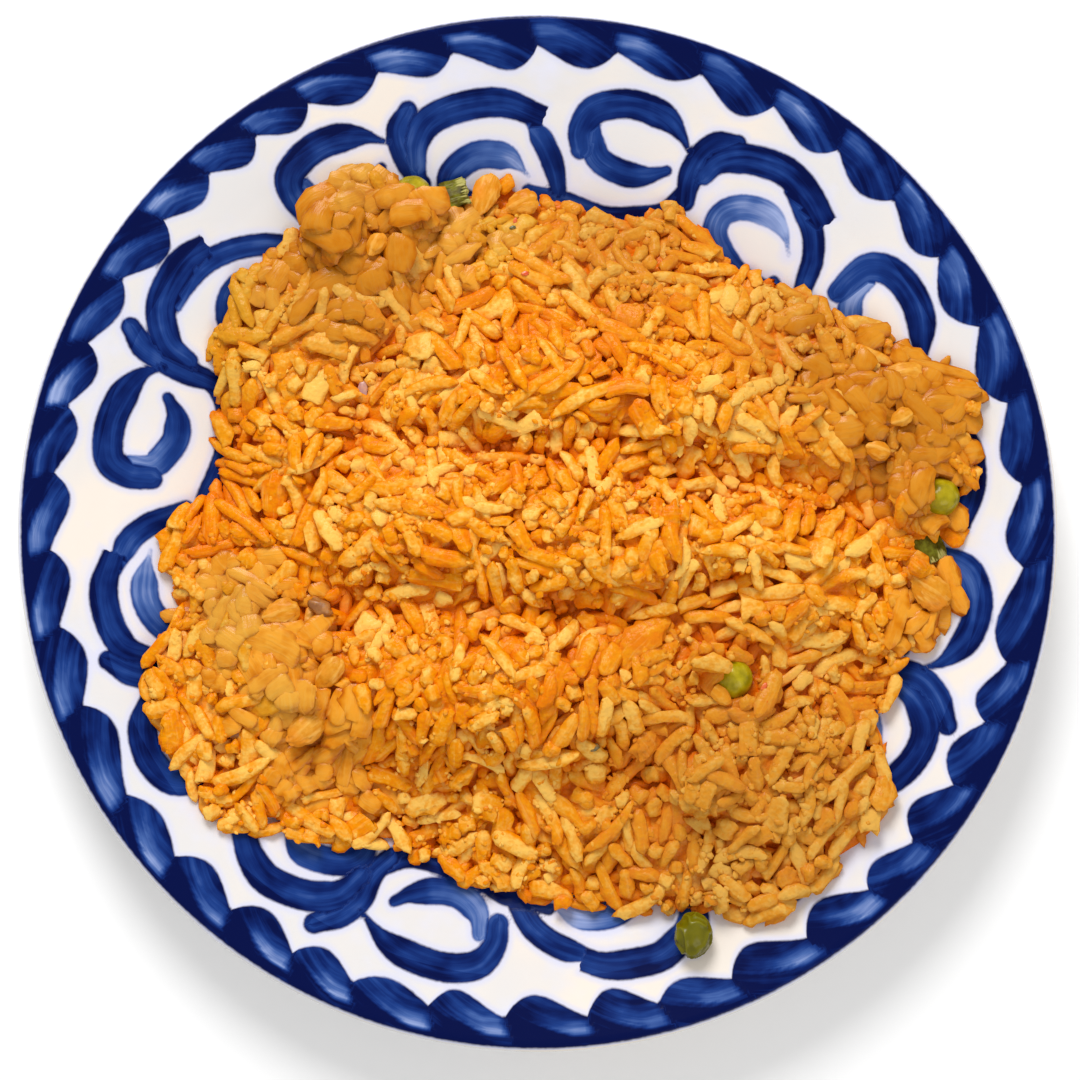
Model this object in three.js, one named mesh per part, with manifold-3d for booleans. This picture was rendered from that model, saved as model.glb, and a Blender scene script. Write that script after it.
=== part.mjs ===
// A hand-painted dinner plate heaped with red rice, peas, corn kernels and a little green pepper.
// Millimetres, +Z up. The origin is the middle of the foot ring, on the table.
import * as THREE from "three";
import { mergeVertices } from "three/addons/utils/BufferGeometryUtils.js";
import Module from "manifold-3d";

const wasm = await Module();
wasm.setup();

// Driving sizes
const PLATE_RADIUS = 120;
const PLATE_HEIGHT = 22;
const PLATE_SEGMENTS = 64;
const WELL_RADIUS = 66;
const WELL_TOP = 5.6;
const FOOT_RADIUS = 70;
const FOOT_WIDTH = 5;
const FOOT_DEPTH = 2.4;
const LIP_THICKNESS = 3.4;

const CLEARANCE = 0.3;
const HEAP_CENTRE = new THREE.Vector2(5.2, -1.6);
const HEAP_RINGS = 31;
const HEAP_BASE_RINGS = 8;
const EDGE_THICKNESS = 2.6;
const EDGE_TUCK = 0.985;
const LAYER_DEPTH = 9;

const GRAIN_LENGTH = 9;
const GRAIN_WIDTH = 3;
const GRAIN_RELIEF = 2.1;
const GRAIN_COUNT = 900;
const SEED = 20;

// How far the heap reaches from its centre, in mm, every 10 degrees anticlockwise from +X
const HEAP_REACH = [
  91, 97, 100, 90, 82, 77, 75, 81, 75, 78, 87, 86,
  98, 93, 95, 93, 85, 80, 92, 89, 102, 103, 103, 91,
  82, 82, 82, 85, 87, 91, 100, 98, 97, 84, 84, 92,
];

// Spoonfuls that the heap is made of: place, half length, half width, turn in degrees, height
const MOUNDS = [
  { x: 18, y: 54, along: 70, across: 30, turn: -10, height: 24 },
  { x: 20, y: 29, along: 82, across: 31, turn: -7, height: 31 },
  { x: 8, y: -3, along: 96, across: 29, turn: -8, height: 32 },
  { x: 0, y: -37, along: 76, across: 31, turn: 2, height: 29 },
  { x: 54, y: -54, along: 46, across: 38, turn: -30, height: 26 },
  { x: 84, y: 24, along: 34, across: 24, turn: 50, height: 19 },
  { x: 62, y: -16, along: 44, across: 26, turn: -12, height: 25 },
  { x: -44, y: 62, along: 28, across: 32, turn: 15, height: 22 },
  { x: -60, y: 30, along: 30, across: 48, turn: -8, height: 20 },
  { x: -60, y: -32, along: 42, across: 30, turn: -62, height: 22 },
  { x: 10, y: -68, along: 58, across: 28, turn: -14, height: 19 },
];
const MOUND_BLEND = 2.4;

// Peas: place, half sizes and how far the middle stands above the rice, or on the bare plate
const PEAS = [
  { name: "pea_whole", x: 44.5, y: -34.6, half: [4.9, 4.8, 4.7], rise: 0.4 },
  { name: "pea_wrinkled", x: 35.8, y: -93.4, half: [4.6, 5.6, 4.5], onPlate: true },
  { name: "pea_right", x: 93.0, y: 7.4, half: [4.8, 4.7, 4.6], rise: -0.6 },
  { name: "pea_top", x: -29.2, y: 78.4, half: [4.7, 4.6, 4.5], rise: -0.4 },
  { name: "pea_upper_left", x: -50.6, y: 73.0, half: [4.4, 4.4, 4.3], rise: -1.0 },
  { name: "pea_in_crevice", x: 40.6, y: -57.2, half: [4.4, 4.3, 4.2], rise: -2.6 },
];

// Corn kernels: place, half length, half width, half thickness, turn and tip in degrees, rise
const KERNELS = [
  { x: 78.3, y: 18.0, half: [3.3, 2.8, 2.5], turn: -20, tip: 10, rise: 0.6 },
  { x: 83.6, y: 25.4, half: [3.0, 2.6, 2.3], turn: 30, tip: -8, rise: 0.6 },
  { x: 97.6, y: 21.0, half: [3.3, 2.7, 2.2], turn: -25, tip: 12, rise: 0.4 },
  { x: 90.6, y: -14.4, half: [5.6, 4.9, 2.7], turn: -35, tip: 8, rise: 0.9 },
  { x: 84.6, y: 36.0, half: [4.9, 3.4, 2.6], turn: 4, tip: -6, rise: 0.4 },
  { x: -37.4, y: 65.8, half: [3.3, 2.8, 2.5], turn: 60, tip: 10, rise: 0.6 },
  { x: -44.6, y: 68.4, half: [3.0, 2.6, 2.3], turn: 110, tip: -10, rise: 0.6 },
  { x: -12.2, y: 78.8, half: [5.6, 3.9, 2.7], turn: 72, tip: 12, rise: 0.7 },
  { x: -3.6, y: 76.6, half: [4.3, 3.9, 2.9], turn: 20, tip: -8, rise: 0.2 },
  { x: -59.0, y: -19.6, half: [4.8, 4.0, 2.9], turn: 15, tip: 6, rise: 0.6 },
  { x: -47.8, y: -33.4, half: [4.9, 3.5, 2.7], turn: 52, tip: -8, rise: 0.6 },
  { x: -53.4, y: -46.2, half: [5.6, 4.6, 3.0], turn: 40, tip: 10, rise: 0.6 },
];

// Pieces of green pepper: place, size, turn and tip in degrees, rise
const PEPPERS = [
  { x: 91.0, y: -4.6, length: 8, width: 6.4, turn: 20, tip: 18, rise: 0.2 },
  { x: -19.6, y: 79.0, length: 8, width: 6.4, turn: 105, tip: 18, rise: 0.2 },
];
const PEPPER_WALL = 2.4;
const PEPPER_BEND_RADIUS = 7;

const GLAZE = new THREE.MeshStandardMaterial({ color: 0xece6e4, roughness: 0.15, metalness: 0 });
const RICE = new THREE.MeshStandardMaterial({ color: 0xe08f2c, roughness: 0.55, metalness: 0 });
const PEA = new THREE.MeshStandardMaterial({ color: 0x74861a, roughness: 0.35, metalness: 0 });
const CORN = new THREE.MeshStandardMaterial({ color: 0xe0a13c, roughness: 0.35, metalness: 0 });
const PEPPER = new THREE.MeshStandardMaterial({ color: 0x6b6d12, roughness: 0.4, metalness: 0 });

// A repeatable run of numbers from 0 to 1
function seededRandom(seed) {
  let state = seed;
  return () => {
    state = (state * 1664525 + 1013904223) % 4294967296;
    return state / 4294967296;
  };
}

function smoothStep(share) {
  return share * share * (3 - 2 * share);
}

// Plate: a foot ring, a flat well, a soft step and a broad rim that rises to a rolled lip
function plateProfile() {
  const lipX = PLATE_RADIUS - LIP_THICKNESS / 2;
  const lipZ = PLATE_HEIGHT - LIP_THICKNESS / 2;
  const under = new THREE.Path();
  under.moveTo(0, FOOT_DEPTH);
  under.lineTo(FOOT_RADIUS - FOOT_WIDTH - 2, FOOT_DEPTH);
  under.lineTo(FOOT_RADIUS - FOOT_WIDTH, 0);
  under.lineTo(FOOT_RADIUS, 0);
  under.lineTo(FOOT_RADIUS + 1.5, 2.2);
  under.quadraticCurveTo(FOOT_RADIUS + 14, 4.6, lipX - 16, 11.6);
  under.lineTo(lipX + 0.3, lipZ - LIP_THICKNESS / 2);
  under.absarc(lipX, lipZ, LIP_THICKNESS / 2, -Math.PI / 3, Math.PI * 0.6, false);
  under.lineTo(lipX - 18, 15.9);
  under.quadraticCurveTo(WELL_RADIUS + 22, 12.2, WELL_RADIUS + 14, 8.6);
  under.quadraticCurveTo(WELL_RADIUS + 8, WELL_TOP, WELL_RADIUS, WELL_TOP);
  under.lineTo(0, WELL_TOP);
  return under.getPoints(3);
}

const PROFILE = plateProfile();
const LIP_INDEX = PROFILE.findIndex((p) => p.y === Math.max(...PROFILE.map((q) => q.y)));
const PLATE_TOP = PROFILE.slice(LIP_INDEX).reverse();

// Height of the plate's upper surface at a distance from its axis
function plateTop(radius) {
  const next = PLATE_TOP.findIndex((p) => p.x > radius);
  const inner = PLATE_TOP[next - 1];
  const outer = PLATE_TOP[next];
  return THREE.MathUtils.mapLinear(radius, inner.x, outer.x, inner.y, outer.y);
}

function makePlate() {
  const geometry = new THREE.LatheGeometry(PROFILE, PLATE_SEGMENTS);
  geometry.rotateX(Math.PI / 2);
  return namedMesh("plate", geometry, GLAZE);
}

// How far the heap reaches at a bearing, with the ends of grains standing out along its edge
function heapReach(bearing) {
  const steps = HEAP_REACH.length;
  const turn = THREE.MathUtils.euclideanModulo(bearing / (2 * Math.PI), 1) * steps;
  const from = Math.floor(turn) % steps;
  const reach = THREE.MathUtils.lerp(
    HEAP_REACH[from],
    HEAP_REACH[(from + 1) % steps],
    smoothStep(turn - Math.floor(turn)),
  );
  return reach + 0.9 * Math.sin(41 * bearing + 1) + 0.7 * Math.sin(67 * bearing);
}

function moundHeight(mound, x, y) {
  const turn = THREE.MathUtils.degToRad(mound.turn);
  const dx = x - mound.x;
  const dy = y - mound.y;
  const along = (dx * Math.cos(turn) + dy * Math.sin(turn)) / mound.along;
  const across = (dy * Math.cos(turn) - dx * Math.sin(turn)) / mound.across;
  return mound.height * (1 - along * along - across * across);
}

// Depth of the rice over the plate, smooth, without the grains' relief
function heapDepth(x, y) {
  const dx = x - HEAP_CENTRE.x;
  const dy = y - HEAP_CENTRE.y;
  const share = Math.min(Math.hypot(dx, dy) / heapReach(Math.atan2(dy, dx)), 1);
  const heights = [LAYER_DEPTH, ...MOUNDS.map((mound) => moundHeight(mound, x, y))];
  const blended = heights.reduce((sum, height) => sum + Math.exp(height / MOUND_BLEND), 0);
  const fall = 1 - share ** 5;
  return EDGE_THICKNESS + fall * (MOUND_BLEND * Math.log(blended) - EDGE_THICKNESS);
}

function heapTop(x, y) {
  return plateTop(Math.hypot(x, y)) + heapDepth(x, y);
}

function pointOnHeap(bearing, share) {
  const reach = heapReach(bearing) * share;
  return new THREE.Vector2(
    HEAP_CENTRE.x + reach * Math.cos(bearing),
    HEAP_CENTRE.y + reach * Math.sin(bearing),
  );
}

// Grains that lie in the surface, spread evenly over the heap
function scatterGrains() {
  const random = seededRandom(SEED);
  const goldenTurn = Math.PI * (3 - Math.sqrt(5));
  return Array.from({ length: GRAIN_COUNT }, (_, i) => {
    const place = pointOnHeap(i * goldenTurn, Math.sqrt((i + random()) / GRAIN_COUNT));
    return { x: place.x, y: place.y, turn: random() * Math.PI, size: 0.8 + 0.4 * random() };
  });
}

// Height that the nearest grain adds to the surface
function grainRelief(grains, x, y) {
  const halfLength = (GRAIN_LENGTH - GRAIN_WIDTH) / 2;
  let highest = 0;
  for (const grain of grains) {
    const dx = x - grain.x;
    const dy = y - grain.y;
    if (Math.abs(dx) > GRAIN_LENGTH || Math.abs(dy) > GRAIN_LENGTH) continue;
    const along = dx * Math.cos(grain.turn) + dy * Math.sin(grain.turn);
    const across = dy * Math.cos(grain.turn) - dx * Math.sin(grain.turn);
    const past = Math.max(Math.abs(along) - halfLength * grain.size, 0);
    const gap = Math.hypot(past, across) / (GRAIN_WIDTH * 0.62);
    if (gap < 1) highest = Math.max(highest, grain.size * Math.sqrt(1 - gap * gap));
  }
  return GRAIN_RELIEF * (highest - 0.5);
}

// One ring of the heap's skin, as many points as its place needs
function heapRing(count, share, heightAt) {
  return Array.from({ length: count }, (_, i) => {
    const place = pointOnHeap((i / count) * 2 * Math.PI, share);
    return new THREE.Vector3(place.x, place.y, heightAt(place.x, place.y));
  });
}

// Closes the strip between two rings of any number of points; the rings run the same way round
function stitchRings(inner, innerStart, outer, outerStart, index) {
  let i = 0;
  let j = 0;
  while (i < inner.length || j < outer.length) {
    const a = innerStart + (i % inner.length);
    const b = outerStart + (j % outer.length);
    const innerNext = inner.length > 1 ? (i + 1) / inner.length : 2;
    const outerNext = outer.length > 1 ? (j + 1) / outer.length : 2;
    if (outerNext <= innerNext) {
      index.push(a, b, outerStart + ((j + 1) % outer.length));
      j += 1;
    } else {
      index.push(a, b, innerStart + ((i + 1) % inner.length));
      i += 1;
    }
    if (inner.length === 1 && j === outer.length) break;
    if (outer.length === 1 && i === inner.length) break;
  }
}

function skinOfRings(rings) {
  const index = [];
  const starts = [];
  let total = 0;
  for (const ring of rings) {
    starts.push(total);
    total += ring.length;
  }
  for (let k = 0; k + 1 < rings.length; k += 1) {
    stitchRings(rings[k], starts[k], rings[k + 1], starts[k + 1], index);
  }
  const geometry = new THREE.BufferGeometry().setFromPoints(rings.flat());
  geometry.setIndex(index);
  return geometry;
}

// The heap's bumpy top, its blunt edge, and an underside that follows the plate
function heapGeometry() {
  const grains = scatterGrains();
  const topAt = (x, y) => heapTop(x, y) + grainRelief(grains, x, y);
  const baseAt = (x, y) => plateTop(Math.hypot(x, y)) + CLEARANCE;
  const rings = [];
  for (let ring = 0; ring <= HEAP_RINGS; ring += 1) {
    rings.push(heapRing(Math.max(6 * ring, 1), ring / HEAP_RINGS, topAt));
  }
  rings.push(heapRing(6 * HEAP_RINGS, EDGE_TUCK, baseAt));
  for (let ring = HEAP_BASE_RINGS - 1; ring >= 0; ring -= 1) {
    rings.push(heapRing(Math.max(6 * ring, 1), ring / HEAP_BASE_RINGS, baseAt));
  }
  return skinOfRings(rings);
}

// Solids for cuts
function toSolid(geometry) {
  const bare = geometry.clone();
  bare.deleteAttribute("normal");
  bare.deleteAttribute("uv");
  const merged = mergeVertices(bare, 1e-4);
  return new wasm.Manifold(new wasm.Mesh({
    numProp: 3,
    vertProperties: new Float32Array(merged.attributes.position.array),
    triVerts: new Uint32Array(merged.index.array),
  }));
}

function fromSolid(solid) {
  const { numProp, vertProperties, triVerts } = solid.getMesh();
  const positions = new Float32Array((vertProperties.length / numProp) * 3);
  for (let i = 0; i < positions.length / 3; i += 1) {
    positions.set(vertProperties.subarray(i * numProp, i * numProp + 3), i * 3);
  }
  const geometry = new THREE.BufferGeometry();
  geometry.setAttribute("position", new THREE.BufferAttribute(positions, 3));
  geometry.setIndex(new THREE.BufferAttribute(new Uint32Array(triVerts), 1));
  geometry.computeVertexNormals();
  return geometry;
}

function namedMesh(name, geometry, material) {
  const mesh = new THREE.Mesh(geometry, material);
  mesh.name = name;
  return mesh;
}

// A pea, a little out of round
function peaGeometry([halfX, halfY, halfZ]) {
  return new THREE.IcosahedronGeometry(1, 1).scale(halfX, halfY, halfZ);
}

// A kernel of corn: broad and square at the crown, narrow at the tip
function kernelGeometry([halfLength, halfWidth, halfThickness]) {
  const geometry = new THREE.IcosahedronGeometry(1, 1);
  const position = geometry.attributes.position;
  const point = new THREE.Vector3();
  for (let i = 0; i < position.count; i += 1) {
    point.fromBufferAttribute(position, i);
    const taper = 0.86 + 0.2 * point.x - 0.12 * point.x * point.x;
    point.set(point.x * halfLength, point.y * halfWidth * taper, point.z * halfThickness * taper);
    position.setXYZ(i, point.x, point.y, point.z);
  }
  return geometry;
}

// A bent slab of pepper, cut across its wall
function pepperGeometry({ length, width }, grow) {
  const outer = PEPPER_BEND_RADIUS + grow;
  const inner = PEPPER_BEND_RADIUS - PEPPER_WALL - grow;
  const sweep = (length / 2 + grow) / PEPPER_BEND_RADIUS;
  const outline = new THREE.Shape();
  outline.absarc(0, 0, outer, Math.PI / 2 - sweep, Math.PI / 2 + sweep, false);
  outline.absarc(0, 0, inner, Math.PI / 2 + sweep, Math.PI / 2 - sweep, true);
  const depth = width + 2 * grow;
  return new THREE.ExtrudeGeometry(outline, { depth, bevelEnabled: false, curveSegments: 5 })
    .translate(0, (PEPPER_WALL - 2 * PEPPER_BEND_RADIUS) / 2, -depth / 2)
    .rotateX(Math.PI / 2);
}

// The lowest a topping of that half thickness may sit without touching the plate
function lowestOverPlate(x, y, halfThickness) {
  const radius = Math.hypot(x, y);
  const slope = Math.atan2(plateTop(radius + 1) - plateTop(radius - 1), 2);
  return plateTop(radius) + (halfThickness + CLEARANCE) / Math.cos(slope) + 0.1;
}

// Sets a topping on the rice or the bare plate: tipped about its own Y, then turned about Z
function placeTopping(mesh, { x, y, turn = 0, tip = 0, rise = 0, onPlate = false }, halfThickness) {
  const lowest = lowestOverPlate(x, y, halfThickness);
  mesh.rotation.order = "ZYX";
  mesh.rotation.z = THREE.MathUtils.degToRad(turn);
  mesh.rotation.y = THREE.MathUtils.degToRad(tip);
  mesh.position.set(x, y, onPlate ? lowest : Math.max(heapTop(x, y) + rise, lowest));
  return mesh;
}

// Every topping, with the slightly larger shape that the rice keeps clear of
function makeToppings() {
  const grown = (half) => half.map((size) => size + CLEARANCE);
  const toppings = [];
  for (const pea of PEAS) {
    toppings.push({
      mesh: placeTopping(namedMesh(pea.name, peaGeometry(pea.half), PEA), pea, pea.half[2]),
      room: peaGeometry(grown(pea.half)),
    });
  }
  KERNELS.forEach((kernel, i) => {
    const name = `corn_kernel_${String(i + 1).padStart(2, "0")}`;
    toppings.push({
      mesh: placeTopping(namedMesh(name, kernelGeometry(kernel.half), CORN), kernel, 3.4),
      room: kernelGeometry(grown(kernel.half)),
    });
  });
  PEPPERS.forEach((pepper, i) => {
    const name = `green_pepper_${i + 1}`;
    toppings.push({
      mesh: placeTopping(namedMesh(name, pepperGeometry(pepper, 0), PEPPER), pepper, 3.4),
      room: pepperGeometry(pepper, CLEARANCE),
    });
  });
  return toppings;
}

function makeHeap(toppings) {
  let heap = toSolid(heapGeometry());
  for (const { mesh, room } of toppings) {
    mesh.updateMatrixWorld(true);
    heap = heap.subtract(toSolid(room.clone().applyMatrix4(mesh.matrixWorld)));
  }
  const largest = heap.decompose().reduce((a, b) => (a.volume() > b.volume() ? a : b));
  return namedMesh("rice_heap", fromSolid(largest), RICE);
}

const toppings = makeToppings();
const servedPlate = new THREE.Group();
servedPlate.add(makePlate(), makeHeap(toppings), ...toppings.map((topping) => topping.mesh));

export default servedPlate;
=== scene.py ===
"""Plate of red rice with peas: a hand-painted plate, loose grains, peas, corn and green pepper.

Lengths in names ending in _MM, and inside the numpy code, are millimetres. Meshes are in metres.
"""

import math

import bmesh
import bpy
import numpy as np
from bpy.props import FloatProperty, FloatVectorProperty, IntProperty, PointerProperty
from mathutils import Matrix, Vector, noise
from mathutils.bvhtree import BVHTree


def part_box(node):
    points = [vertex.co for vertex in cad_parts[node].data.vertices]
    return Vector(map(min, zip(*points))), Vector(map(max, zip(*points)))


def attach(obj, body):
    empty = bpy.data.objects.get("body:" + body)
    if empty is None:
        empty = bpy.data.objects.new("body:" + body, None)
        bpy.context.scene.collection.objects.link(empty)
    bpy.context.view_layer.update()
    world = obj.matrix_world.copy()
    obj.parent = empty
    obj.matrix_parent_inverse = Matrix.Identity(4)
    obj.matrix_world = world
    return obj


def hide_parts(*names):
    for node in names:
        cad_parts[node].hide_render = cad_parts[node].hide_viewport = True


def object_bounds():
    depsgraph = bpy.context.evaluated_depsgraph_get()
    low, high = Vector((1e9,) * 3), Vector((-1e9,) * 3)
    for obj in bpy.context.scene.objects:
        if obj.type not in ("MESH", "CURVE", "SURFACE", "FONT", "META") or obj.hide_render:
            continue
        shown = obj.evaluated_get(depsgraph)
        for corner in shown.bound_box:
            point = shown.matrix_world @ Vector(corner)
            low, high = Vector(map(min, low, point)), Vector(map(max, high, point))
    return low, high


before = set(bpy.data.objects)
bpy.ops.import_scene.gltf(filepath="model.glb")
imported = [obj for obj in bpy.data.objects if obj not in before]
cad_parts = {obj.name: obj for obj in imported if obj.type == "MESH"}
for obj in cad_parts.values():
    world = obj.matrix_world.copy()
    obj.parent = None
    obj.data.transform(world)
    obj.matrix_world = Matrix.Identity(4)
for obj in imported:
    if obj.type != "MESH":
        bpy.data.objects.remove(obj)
CAD_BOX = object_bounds()

bl_info = {
    "name": "Plate of red rice",
    "version": (1, 0, 0),
    "blender": (4, 5, 0),
    "location": "View3D > Sidebar > Red rice",
    "description": "Makes a hand-painted plate heaped with red rice, peas, corn and green pepper",
    "category": "Add Mesh",
}

MM = 0.001
UP = Vector((0, 0, 1))
DOWN = -UP

# The plate's section, as in its solid
PLATE_RADIUS_MM = 120
PLATE_HEIGHT_MM = 22
LIP_THICKNESS_MM = 3.4
LIP_ROUND_MM = 1.69
WELL_RADIUS_MM = 66
WELL_TOP_MM = 5.6
FOOT_RADIUS_MM = 70
FOOT_WIDTH_MM = 5
FOOT_DEPTH_MM = 2.4
PAINTED_FROM_MM = 68
BARE_FOOT_MM = 0.7
UNDER_STEP_MM = 3.5
WELL_STEP_MM = 8
# The plate is spun as one wedge, which is then doubled this many times
PLATE_DOUBLINGS = 5
SEAM_GAP = 2e-6

# Rim petals: how many degrees of the rim each one covers, clockwise from the top of the photo
PETAL_TURNS = (
    9.4, 10.3, 9.4, 9.3, 8.8, 8.7, 9.4, 9.7, 9.7,
    9.7, 11.5, 7.5, 8.2, 8.1, 7.8, 9.1, 10.0, 9.0, 8.5, 9.7,
    9.0, 9.4, 7.8, 8.8, 9.0, 9.1, 11.9, 9.6, 9.1, 9.0,
    8.2, 7.8, 8.5, 8.6, 7.6, 7.1, 7.4, 8.9, 9.1, 10.3,
)
PETAL_OUTER_MM = 119.0
PETAL_NOTCH_MM = 6.6
PETAL_DEPTH_MM = 11.4
PETAL_SLANT = 0.16
# Points this far past the border's outer and inner edges are looked at too
PETAL_BLEED_MM = 1.5
PETAL_SPARE_MM = 4
# A stroke swells and narrows over these shares of its length, and fades where it is as fine as a hair
SWELLS_OVER = 0.28
NARROWS_OVER = 0.34
HAIR_MM = 0.6
# How unsteady the hand is, in degrees along the rim and in mm across it
HAND_SHAKE = (0.1, 0.12)
# The paint's edge wanders by this much
RAGGED_MM = 0.18
UNPAINTED = -9.0

# Brush strokes of one scroll, in the order they are laid: width in mm, share of it at the start and the
# end, how thin the paint is, whether the end is square, and the path as degrees past the scroll's start
# and mm from the plate's axis
SCROLL_STROKES = {
    "under": (6.2, 0.5, 0.7, 0.12, False,
             ((-6.5, 80.8), (-2, 78.6), (3, 76.4), (8, 75.6), (13, 77), (16.8, 80.6), (18.6, 86))),
    "stem": (6.4, 0.75, 0.7, 0.10, False,
             ((22.6, 101.4), (20.2, 99.4), (18.9, 95), (18.7, 89.6), (19.6, 84.8))),
    "curl": (6.4, 0.12, 0.7, 0.45, False,
             ((37.6, 87.4), (35.3, 90.4), (31.6, 91.6), (28, 90), (25.9, 86.4), (25.9, 82.4), (28.4, 79),
              (33.4, 77.4), (38.4, 78.4))),
    "tail": (5.6, 0.5, 0.75, 0.22, False,
             ((31.8, 98.6), (37.2, 95.8), (40.5, 90.8), (42.6, 85.4), (44.6, 81.6))),
    "hook": (6.2, 0.55, 0.45, 0.34, False,
             ((3.3, 97.4), (3.4, 92.8), (4.9, 88.6), (8.6, 86.4), (12.3, 87.2), (15, 89.8))),
    "arch": (7.0, 0.75, 0.2, 0.14, False,
             ((1.7, 90.4), (1.2, 94.4), (3.2, 99.6), (7.6, 101.8), (12.4, 100.8), (15.4, 98.2),
              (17.4, 95.2))),
    "crown": (7.0, 0.6, 0.8, 0.12, True,
             ((20.6, 91.8), (21.8, 96.2), (25.2, 100), (30, 101.6), (34.6, 100.4), (38.6, 98.2))),
}

# Scrolls: where each one starts, in degrees clockwise from the top, and the paths that differ in it
SCROLLS = (
    (4.7, {}),
    (50.0, {
        "arch": ((1.4, 90), (1.2, 94), (1.6, 98.4), (3.6, 101.6), (7.2, 103), (11.2, 101.8), (15.6, 98.2),
                 (18.6, 96)),
        "hook": ((3, 97), (3.6, 91.6), (6, 88), (10, 86.4), (14.4, 87.4), (16.6, 92.2)),
        "stem": ((25.4, 103.4), (22.4, 100), (20.6, 95), (20.6, 88), (18.2, 82.6)),
        "crown": ((23.2, 90.6), (24.6, 96), (27, 100), (30.4, 101.8), (34.8, 101), (39.4, 98)),
        "curl": ((36, 88), (33, 90.4), (29, 90.8), (25.6, 88.4), (23.8, 84.6), (25.4, 81), (30, 79)),
    }),
    (93.1, {
        "arch": ((0.9, 92), (0.8, 96), (2.4, 100.6), (6.4, 103.4), (10.8, 103), (14.6, 99.6),
                 (16.8, 94.8)),
        "stem": ((22.6, 104.8), (19.6, 100.4), (18.2, 95.4), (18.4, 89.6), (19.4, 84.8)),
        "crown": ((20.4, 92), (21.6, 97), (24.2, 101), (28, 102.3), (32.4, 100.6), (35.6, 97.6)),
    }),
    (139.0, {
        "arch": ((1.2, 91.4), (0.8, 95.4), (3, 99.8), (7, 101.4), (11.4, 100.2), (15.2, 96.4)),
        "stem": ((20.8, 102.4), (19, 98.6), (18.2, 94.6), (18.2, 90), (19, 85)),
        "crown": ((19.4, 95.1), (21.3, 99.5), (24.5, 102.5), (28.3, 102.8), (32.1, 101.8), (34.9, 100)),
        "tail": ((33.3, 99.3), (37.8, 97), (41.2, 93), (43.4, 88.4), (45.4, 84.2)),
        "curl": ((39.7, 86.6), (35.4, 89.6), (31, 91), (27.6, 89.6), (25.4, 86), (25.6, 82.4),
                 (28.4, 79.6)),
    }),
    (184.7, {
        "under": ((-6.5, 88), (-0.3, 84.7), (3.5, 82.4), (8, 81.2), (12.4, 80.7), (16.8, 81.9),
                  (20, 86.1)),
        "arch": ((1, 92.1), (1.1, 97), (3.2, 101.5), (7.3, 103.2), (11.8, 103), (16.2, 101), (20, 97.5)),
        "hook": ((3.5, 94.6), (4.2, 90.1), (7, 87.1), (10.8, 87.1), (14.3, 89.3), (16.4, 92.4)),
        "stem": ((24.9, 104.5), (22.5, 100), (21.1, 95.1), (21.1, 89.1), (19.7, 83.7)),
        "crown": ((22.4, 90.1), (24.1, 96.2), (27.6, 100.1), (32.7, 102), (36.5, 100.7), (39.6, 97.5)),
        "tail": ((36.5, 99), (41, 95.4), (44, 90), (46, 85)),
        "curl": ((36, 91), (32, 92.6), (28, 91.4), (24.8, 88.8), (23.8, 84.6), (26, 81)),
    }),
    (232.5, {
        "arch": ((1.6, 92), (1.2, 97.6), (3.2, 102.6), (6.8, 104), (10.4, 102.6), (13.8, 99.6),
                 (16.6, 96.4)),
        "hook": ((3, 98), (2.6, 93), (4.2, 88.4), (8.4, 85.8), (12, 86.8), (14.4, 90.2)),
        "stem": ((20.6, 103.8), (18, 99.6), (16.8, 94.6), (17, 88), (17.6, 82.6)),
        "crown": ((19.7, 94.6), (21.9, 99.5), (25.4, 101.5), (29.8, 101.5), (34.3, 98.7)),
        "tail": ((32, 98.4), (35.6, 95.6), (38, 91.6), (39.6, 87), (41, 82.6)),
        "curl": ((34.6, 90.4), (31.4, 91.9), (28, 92.6), (24.6, 91.6), (22, 88.6), (21.6, 84.6),
                 (24, 81)),
    }),
    (276.3, {
        "arch": ((1.3, 91.1), (1.2, 96), (2.9, 100.5), (7, 102), (11.4, 101.5), (14.9, 99), (17.4, 95.1)),
        "hook": ((3.2, 96), (3.2, 91.1), (5.7, 88.6), (8.3, 87.4), (11.4, 88.6), (13.4, 91.6)),
        "stem": ((20, 105.5), (18.7, 101), (18.1, 95.1), (18.1, 89.1), (18.3, 83.2)),
        "crown": ((19.6, 90.6), (20.8, 97), (24.2, 101.8), (28.5, 103.4), (31.7, 103.2), (34.4, 101.8)),
        "tail": ((25.6, 99), (31, 99.8), (35.5, 97.5), (39.3, 93.6), (42.5, 89.1), (46, 83.6)),
        "curl": ((38, 87.6), (35, 89.8), (31.6, 90.4), (28.4, 88.4), (27.2, 85), (28.6, 81.6),
                 (33, 79.4)),
    }),
    (323.1, {
        "arch": ((0.5, 92), (0.7, 97), (2, 101), (5.2, 103), (9, 103), (12.8, 101), (15.9, 97)),
        "hook": ((3, 97.4), (3.2, 92.8), (4.4, 88.6), (8, 86.4), (12, 88.2), (13.6, 92.4)),
        "stem": ((20, 102.5), (17.6, 99), (17.4, 94.1), (17.8, 89.1), (18.2, 85)),
        "crown": ((18.8, 90.1), (19.7, 95.1), (22.5, 99.1), (27.3, 100.5), (32.4, 100.2), (37.7, 96.6)),
        "tail": ((36, 95.6), (38.1, 90.6), (39.4, 85.6), (40.4, 81.2)),
        "curl": ((35.6, 83.8), (32.4, 88), (27.6, 89.2), (23.6, 86.6), (22.6, 83), (25, 80)),
    }),
)

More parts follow.
